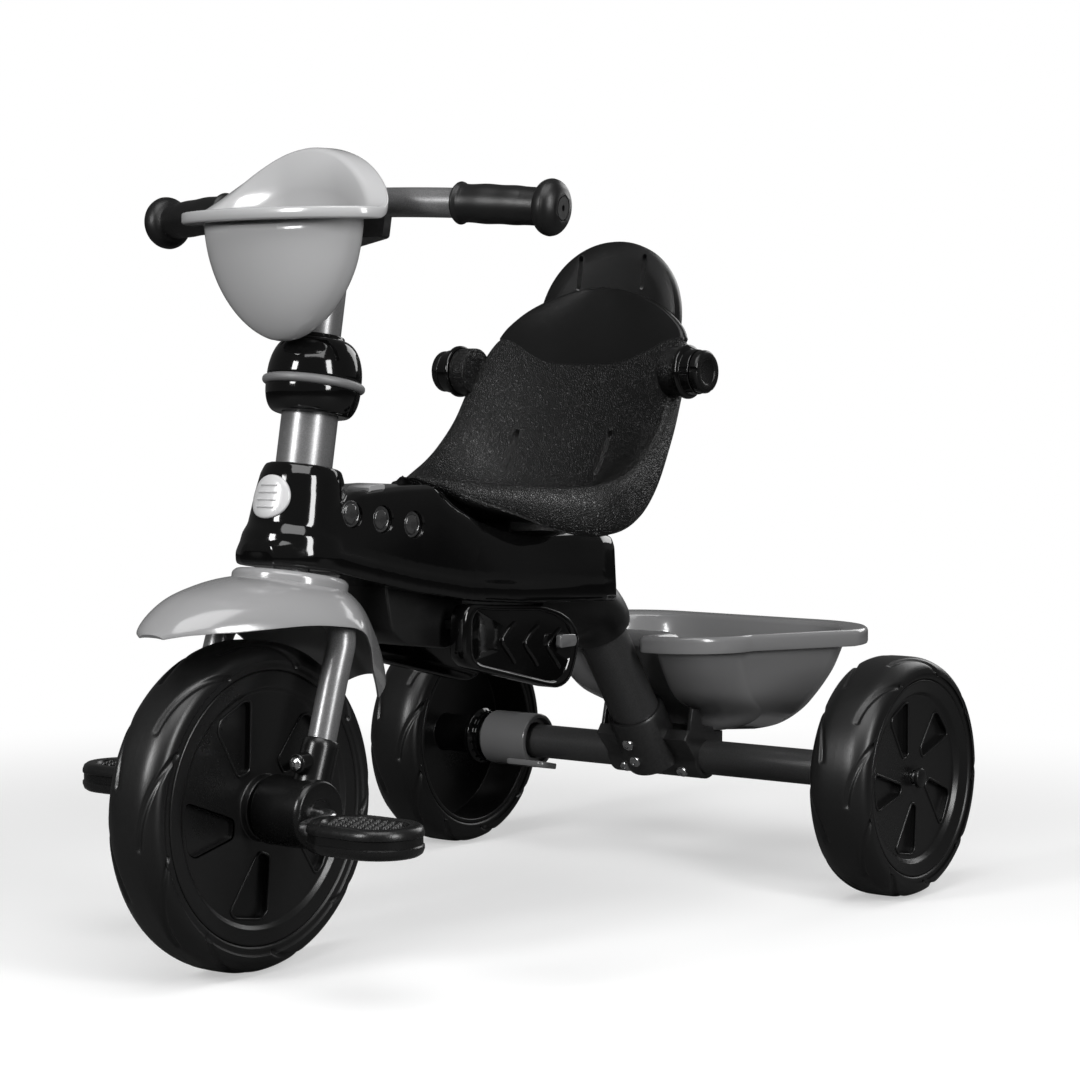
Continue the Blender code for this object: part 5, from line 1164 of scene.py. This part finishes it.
def slot_cut(top, foot, half, deep, facing):
    """Upright slot with round ends between two points, through a thin shell."""
    up = (top - foot).normalized()
    aside = Vector((1, 0, 0))
    loop = [top + aside * half * math.cos(t) + up * half * math.sin(t) for t in np.linspace(0, math.pi, 9)]
    loop += [foot - aside * half * math.cos(t) - up * half * math.sin(t)
             for t in np.linspace(0, math.pi, 9)]
    return skinned([[p - facing * deep for p in loop], [p + facing * deep for p in loop]])


SOCKET_Y = -0.139
SOCKET_Z = 0.436
SEAT_SLOT_X = 0.048
seat = solid("seat_bucket", shell(SEAT_ROWS, 0.008, 0.016, 0.006), 60)
foot = [(-0.270, 0.309), (-0.205, 0.309), (-0.205, 0.325), (-0.270, 0.323)]
bosses = [turned([(0.0, 0.100), (0.0198, 0.100), (0.0198, 0.115), (0.0, 0.115)],
                 across(0, SOCKET_Y, SOCKET_Z, side), 64, 0.001)
          for side in (1, -1)]
carved(seat, [plate(foot, -0.035, 0.035, 0.0)] + bosses, "UNION", sharp=50)
tilt = Vector((0, -math.cos(0.35), math.sin(0.35)))
carved(seat, [slot_cut(at(side * SEAT_SLOT_X, -0.1526, 0.386), at(side * SEAT_SLOT_X, -0.167, 0.353),
                       0.0026, 0.02, tilt)
              for side in (1, -1)], sharp=50)
fitted(seat, seat_black, "frame", ["seat_shell"])
panel_black = surface("panel_satin_black", 0.0036, 0.30, size=10.0, drift=0.35, rub=0.25, rubbed=0.02,
                      smears=0.12,
                      grain=(900.0, 0.5), deep=0.00006, shine=0.35)
fitted(solid("seat_back_panel", shell(PANEL_ROWS, 0.009, 0.009, 0.004, 48, 8), 60), panel_black, "frame",
       ["back_panel"])
HEADREST_TILT = math.radians(12)
head_place = Matrix.Translation(at(0, -0.0825, 0.449)) @ Matrix.Rotation(math.pi / 2 - HEADREST_TILT, 4,
                                                                         "X")
head_plan = [(-0.064, 0.0), (0.064, 0.0)] + [(0.072 * math.cos(t), 0.022 + 0.076 * math.sin(t) ** 0.9)
                                             for t in np.linspace(0.02, math.pi - 0.02, 50)]
head_loops = []
for inset, h in ((0.030, 0.0020), (0.0055, 0.0), (0.0016, 0.0012), (0.0, 0.005), (0.0, 0.009),
                 (0.0016, 0.0128),
                 (0.0055, 0.0140), (0.020, 0.0128), (0.040, 0.0120)):
    k = 1.0 - inset / 0.072
    head_loops.append([head_place @ Vector((x * k, 0.045 + (y - 0.045) * k, h)) for x, y in head_plan])
headrest = solid("headrest_pad", skinned(head_loops), 60)
facing = head_place.to_3x3() @ Vector((0, 0, 1))
carved(headrest, [slot_cut(head_place @ Vector((side * 0.033, 0.083, 0.007)),
                           head_place @ Vector((side * 0.033, 0.057, 0.007)),
                           0.0022, 0.02, facing) for side in (1, -1)], sharp=50)
fitted(headrest, panel_black, "frame", ["headrest"])

# ---- Canopy sockets and knobs ------------------------------------------------
# A gloss black cup on each side of the seat back, with a lug for the canopy
# wire, and a round knob pressed into its mouth that turns to lock it.
knob_black = surface("knob_black", 0.0040, 0.26, rub=0.3, rubbed=0.02, grain=(600.0, 0.1), deep=0.00003,
                     shine=0.35)
for name, side in (("left", 1), ("right", -1)):
    spot = across(0, SOCKET_Y, SOCKET_Z, side)
    cup = solid("socket_%s_cup" % name, turned([(0.0, 0.1153), (0.0210, 0.1153), (0.0220, 0.1163),
                                                (0.0220, 0.1192), (0.0195, 0.1205),
                                                (0.0186, 0.1205), (0.0182, 0.1288), (0.0, 0.1288)], spot,
                                                96, 0.0008))
    fitted(cup, gloss_black, "frame", ["socket_" + name])
    knob = solid("knob_%s_cap" % name, turned([(0.0, 0.1293), (0.0175, 0.1293), (0.0175, 0.1350),
                                               (0.0158, 0.1370), (0.0105, 0.1370),
                                               (0.0100, 0.1360), (0.0, 0.1360)], spot, 96, 0.0010))
    bites = [turned([(0.0, 0.130), (0.0024, 0.130), (0.0024, 0.140), (0.0, 0.140)],
                    spot @ Matrix.Translation((0.0178 * math.cos(t), 0.0178 * math.sin(t), 0)), 16, 0.0002)
             for t in (0.4, 2.5, 4.6)]
    carved(knob, bites)
    fitted(knob, knob_black, name + "_knob", ["knob_" + name])

# ---- Rear bucket -------------------------------------------------------------
# A grey plastic tub with a wide folded rim, glossy inside and out. A recess at
# its front lets the main tube pass, and its floor rests on the axle bracket.
LEVELS = [(0.1215, 0.0125, 0.072, 0.048, 0.066, 0.026, 0.0205, 0.0265),
          (0.1265, 0.0100, 0.088, 0.064, 0.085, 0.040, 0.0180, 0.0275),
          (0.138, 0.001, 0.102, 0.077, 0.101, 0.048, 0.0090, 0.0290),
          (0.154, -0.034, 0.113, 0.086, 0.115, 0.058, -0.008, 0.0330),
          (0.174, -0.056, 0.123, 0.092, 0.127, 0.064, -0.021, 0.0370),
          (0.193, -0.071, 0.129, 0.096, 0.135, 0.069, -0.034, 0.0400)]
RIM = (0.212, -0.086, 0.147, 0.106, 0.153, 0.074, -0.045, 0.0310)
BUCKET_WALL = 0.0028
bucket_grey = surface("bucket_grey_plastic", 0.20, 0.17, size=7.0, drift=0.08, rub=0.08, rubbed=0.3,
                      smears=0.08,
                      grain=(45.0, 0.0), deep=0.00004, coat=0.35)


def bucket_loop(level, arc_steps=14):
    """Tub outline at one level, its corners rounded and its front recessed."""
    z, front, rear, half_front, half_rear, corner, recess, recess_half = level
    inner = [(0.0, recess), (recess_half - 0.006, recess), (recess_half, recess - 0.004),
             (recess_half, front + 0.003),
             (recess_half + 0.003, front)]
    right = []
    for a, b in zip(inner, inner[1:]):
        right += [(a[0] + (b[0] - a[0]) * t, a[1] + (b[1] - a[1]) * t) for t in (0.0, 0.25, 0.5, 0.75)]
    right.append(inner[-1])
    corner_front = min(corner, half_front - recess_half - 0.006)
    right += arc(half_front - corner_front, front + corner_front, corner_front, -90, 0, arc_steps)
    right += arc(half_rear - corner, rear - corner, corner, 0, 90, arc_steps)
    right += [(half_rear * t - corner * t, rear) for t in (0.66, 0.33, 0.0)]
    return [at(x, y, z) for x, y in right + [(-x, y) for x, y in right[-2:0:-1]]]


def grown(level, out, up=0.0):
    z, front, rear, half_front, half_rear, corner, recess, recess_half = level
    return (z + up, front - out, rear + out, half_front + out, half_rear + out, corner + out * 0.8,
            recess - out,
            recess_half - out)


walls = flowing(LEVELS, 6)
rim_rows = [grown(LEVELS[-1], 0.003, 0.0145), grown(RIM, -0.0032, -0.0030), grown(RIM, -0.0032, -0.0140),
            grown(RIM, -0.0020, -0.0145), grown(RIM, -0.0006, -0.0142), grown(RIM, 0.0, -0.0125),
            grown(RIM, 0.0, -0.0040),
            grown(RIM, -0.0006, -0.0018), grown(RIM, -0.0022, -0.0004), grown(RIM, -0.0050, 0.0),
            grown(LEVELS[-1], 0.0040, 0.0182),
            grown(LEVELS[-1], 0.0012, 0.0172), grown(LEVELS[-1], -0.0012, 0.0140)]
inner_rows = [grown(tuple(row), -BUCKET_WALL) for row in walls[3:]][::-1]
bucket_rings = [bucket_loop(tuple(row)) for row in walls] + [bucket_loop(row) for row in rim_rows
                                                             + inner_rows]
bucket_rings.append(bucket_loop(grown(LEVELS[0], -BUCKET_WALL, BUCKET_WALL)))
fitted(solid("bucket_tub", skinned(bucket_rings), 50), bucket_grey, "frame", ["rear_bucket"])

# ---- Folding footrests and their bracket ------------------------------------
# Two gloss black pads hinge on steel pins under the body, each with a thick
# rounded border and three raised chevrons on its outer face. A black bracket
# clamps them to the main tube, and a small clear latch clips them up.
PAD_IN = 0.038
PAD = [(-0.352, 0.216), (-0.352, 0.248), (-0.344, 0.2575), (-0.312, 0.2545), (-0.250, 0.2500),
       (-0.225, 0.2435), (-0.209, 0.235),
       (-0.199, 0.222), (-0.203, 0.205), (-0.212, 0.187), (-0.226, 0.1815), (-0.240, 0.1835),
       (-0.342, 0.2075)]
clamp_side = eased([(-0.416, 0.288, 0), (-0.406, 0.240, 0), (-0.389, 0.2275, 0), (-0.338, 0.2205, 0),
                    (-0.321, 0.2265, 0),
                    (-0.318, 0.236, 0), (-0.318, 0.272, 0)], 0.006, True)
clamp = solid("footrest_clamp", plate([(p.x, p.y) for p in clamp_side], -0.026, 0.026, 0.0, 0.0020))
arm_side = [(-0.3420, 0.2366), (-0.3300, 0.2366), (-0.3300, 0.2434), (-0.3420, 0.2434)]
carved(clamp, [plate(arm_side, -0.0490, 0.0490, 0.0, 0.0010)], "UNION")
fitted(clamp, satin_black, "frame", ["footrest_bracket"])
finished("footrest_pin_left", zinc_steel)
finished("footrest_pin_right", zinc_steel)
pad_plan = eased([(y, z, 0) for y, z in PAD], 0.007, True)
middle = sum(pad_plan, Vector()) / len(pad_plan)
for name, side in (("left", 1), ("right", -1)):
    loops = []
    for k, depth in ((0.955, 0.0), (0.985, 0.0006), (1.0, 0.0022), (1.0, 0.0135), (0.988, 0.0152),
                     (0.965, 0.0160),
                     (0.91, 0.0160), (0.87, 0.0152), (0.85, 0.0136), (0.4, 0.0132)):
        loops.append([at(side * (PAD_IN + depth), middle.x + (p.x - middle.x) * k,
                         middle.y + (p.y - middle.y) * k)
                      for p in pad_plan])
    pad = solid("footrest_%s_pad" % name, skinned(loops), 50)
    slot_plan = [(-0.3428, 0.2278), (-0.3292, 0.2278), (-0.3292, 0.270), (-0.3428, 0.270)]
    carved(pad, [plate(slot_plan, side * (PAD_IN - 0.01), side * 0.0498, 0.0, 0.0001)])
    ribs = []
    for number in range(3):
        y = -0.297 + 0.0300 * number
        z = 0.2245 - 0.0045 * number
        line = [at(side * (PAD_IN + 0.0139), y + dy, z + dz) for dy, dz in
                ((0.012, 0.0140), (0.004, 0.0095), (-0.003, 0.0035), (-0.0045, 0.0), (-0.001, -0.0045),
                 (0.006, -0.0115), (0.011, -0.0175))]
        ribs.append(swept([Vector(p) for p in flowing(line, 5)], 0.0016, 14))
    carved(pad, ribs, "UNION", 50)
    fitted(pad, gloss_black, name + "_footrest", ["footrest_" + name])
latch_clear = surface("latch_smoked", 0.12, 0.06, rub=0.1, rubbed=0.6, coat=1.0)
latch = eased([(-0.236, 0.2150, 0), (-0.214, 0.2150, 0), (-0.212, 0.2195, 0), (-0.214, 0.2250, 0),
               (-0.235, 0.2258, 0)], 0.003, True)
fitted(solid("latch_clip", plate([(p.x, p.y) for p in latch], 0.0548, 0.0600, 0.0, 0.0010)), latch_clear,
       "left_footrest")

# ---- Camera, floor and studio lights ----------------------------------------
# A pale seamless floor, a wide soft box overhead, and upright soft boxes on
# both sides of the camera.
camera_data = bpy.data.cameras.new("camera")
camera_data.lens = 94.85
camera_data.sensor_width = 36.0
camera = bpy.data.objects.new("camera", camera_data)
camera.location = (1.40139, AXLE_Y - 2.06795, 0.44077)
camera.rotation_euler = (math.radians(90 - 3.50), 0.0, math.radians(36.62))
bpy.context.scene.collection.objects.link(camera)
bpy.context.scene.camera = camera

floor_paint = bpy.data.materials.new("pale_floor")
floor_paint.use_nodes = True
tree = floor_paint.node_tree
shader = tree.nodes["Principled BSDF"]
shader.inputs["Roughness"].default_value = 0.7
shader.inputs["Specular IOR Level"].default_value = 0.15
floor_grain = node(tree, "TexNoise", {"Vector": node(tree, "TexCoord").outputs["Object"], "Scale": 3.0})
floor_tint = node(tree, "HueSaturation", {"Color": (0.86, 0.86, 0.86, 1), "Value": node(tree, "MapRange", {
    0: floor_grain.outputs[0], 3: 0.985, 4: 1.015}).outputs[0]})
tree.links.new(floor_tint.outputs[0], shader.inputs["Base Color"])
distance = node(tree, "VectorMath", {0: node(tree, "TexCoord").outputs["Object"]},
                operation="LENGTH").outputs["Value"]
glow = node(tree, "Emission", {"Color": (1, 1, 1, 1), "Strength": 1.0})
edge = node(tree, "MapRange", {0: distance, 1: 0.55, 2: 1.3, 3: 0.45, 4: 1.0},
            interpolation_type="SMOOTHSTEP").outputs[0]
blend = node(tree, "MixShader", {0: edge, 1: shader.outputs[0], 2: glow.outputs[0]})
dark = node(tree, "BsdfDiffuse", {"Color": (0.13, 0.13, 0.13, 1)})
by_eye = node(tree, "LightPath").outputs["Is Camera Ray"]
shown = node(tree, "MixShader", {0: by_eye, 1: dark.outputs[0], 2: blend.outputs[0]})
tree.links.new(shown.outputs[0], tree.nodes["Material Output"].inputs["Surface"])
FLOOR_HALF = 14.0
floor = solid("floor", ([Vector((x, y, 0.0)) for x, y in ((-1, -1), (1, -1), (1, 1), (-1, 1))],
                        [(0, 1, 2, 3)]))
for corner in floor.data.vertices:
    corner.co *= FLOOR_HALF
floor.data.materials.append(floor_paint)

target = Vector((0.0, -0.05, 0.30))
toward = Vector((0.5965, -0.8026, 0.0))
right = Vector((0.8026, 0.5965, 0.0))


def soft_box(name, where, wide, tall, power):
    lamp = bpy.data.lights.new(name, "AREA")
    lamp.shape = "RECTANGLE"
    lamp.size = wide
    lamp.size_y = tall
    lamp.energy = power
    thing = bpy.data.objects.new(name, lamp)
    thing.location = where
    thing.rotation_euler = (target - where).to_track_quat("-Z", "Y").to_euler()
    bpy.context.scene.collection.objects.link(thing)


soft_box("overhead_box", target + toward * 0.8 + Vector((0.0, 0.0, 1.7)), 1.4, 1.4, 26.0)
soft_box("right_box", target + toward * 1.3 + right * 0.95 + Vector((0, 0, 0.60)), 0.34, 0.95, 20.0)
soft_box("left_box", target + toward * 1.2 - right * 1.25 + Vector((0, 0, 0.75)), 0.38, 0.60, 20.0)
soft_box("rear_box", target - toward * 1.6 + right * 1.4 + Vector((0, 0, 0.9)), 1.2, 1.2, 14.0)

world = bpy.data.worlds.new("studio")
world.use_nodes = True
bpy.context.scene.world = world
tree = world.node_tree
seen = node(tree, "LightPath").outputs["Is Camera Ray"]
tree.nodes["Background"].inputs["Color"].default_value = (1, 1, 1, 1)
tree.links.new(node(tree, "MapRange", {0: seen, 3: 0.10, 4: 1.0}).outputs[0],
               tree.nodes["Background"].inputs["Strength"])
bpy.context.scene.view_settings.view_transform = "Standard"
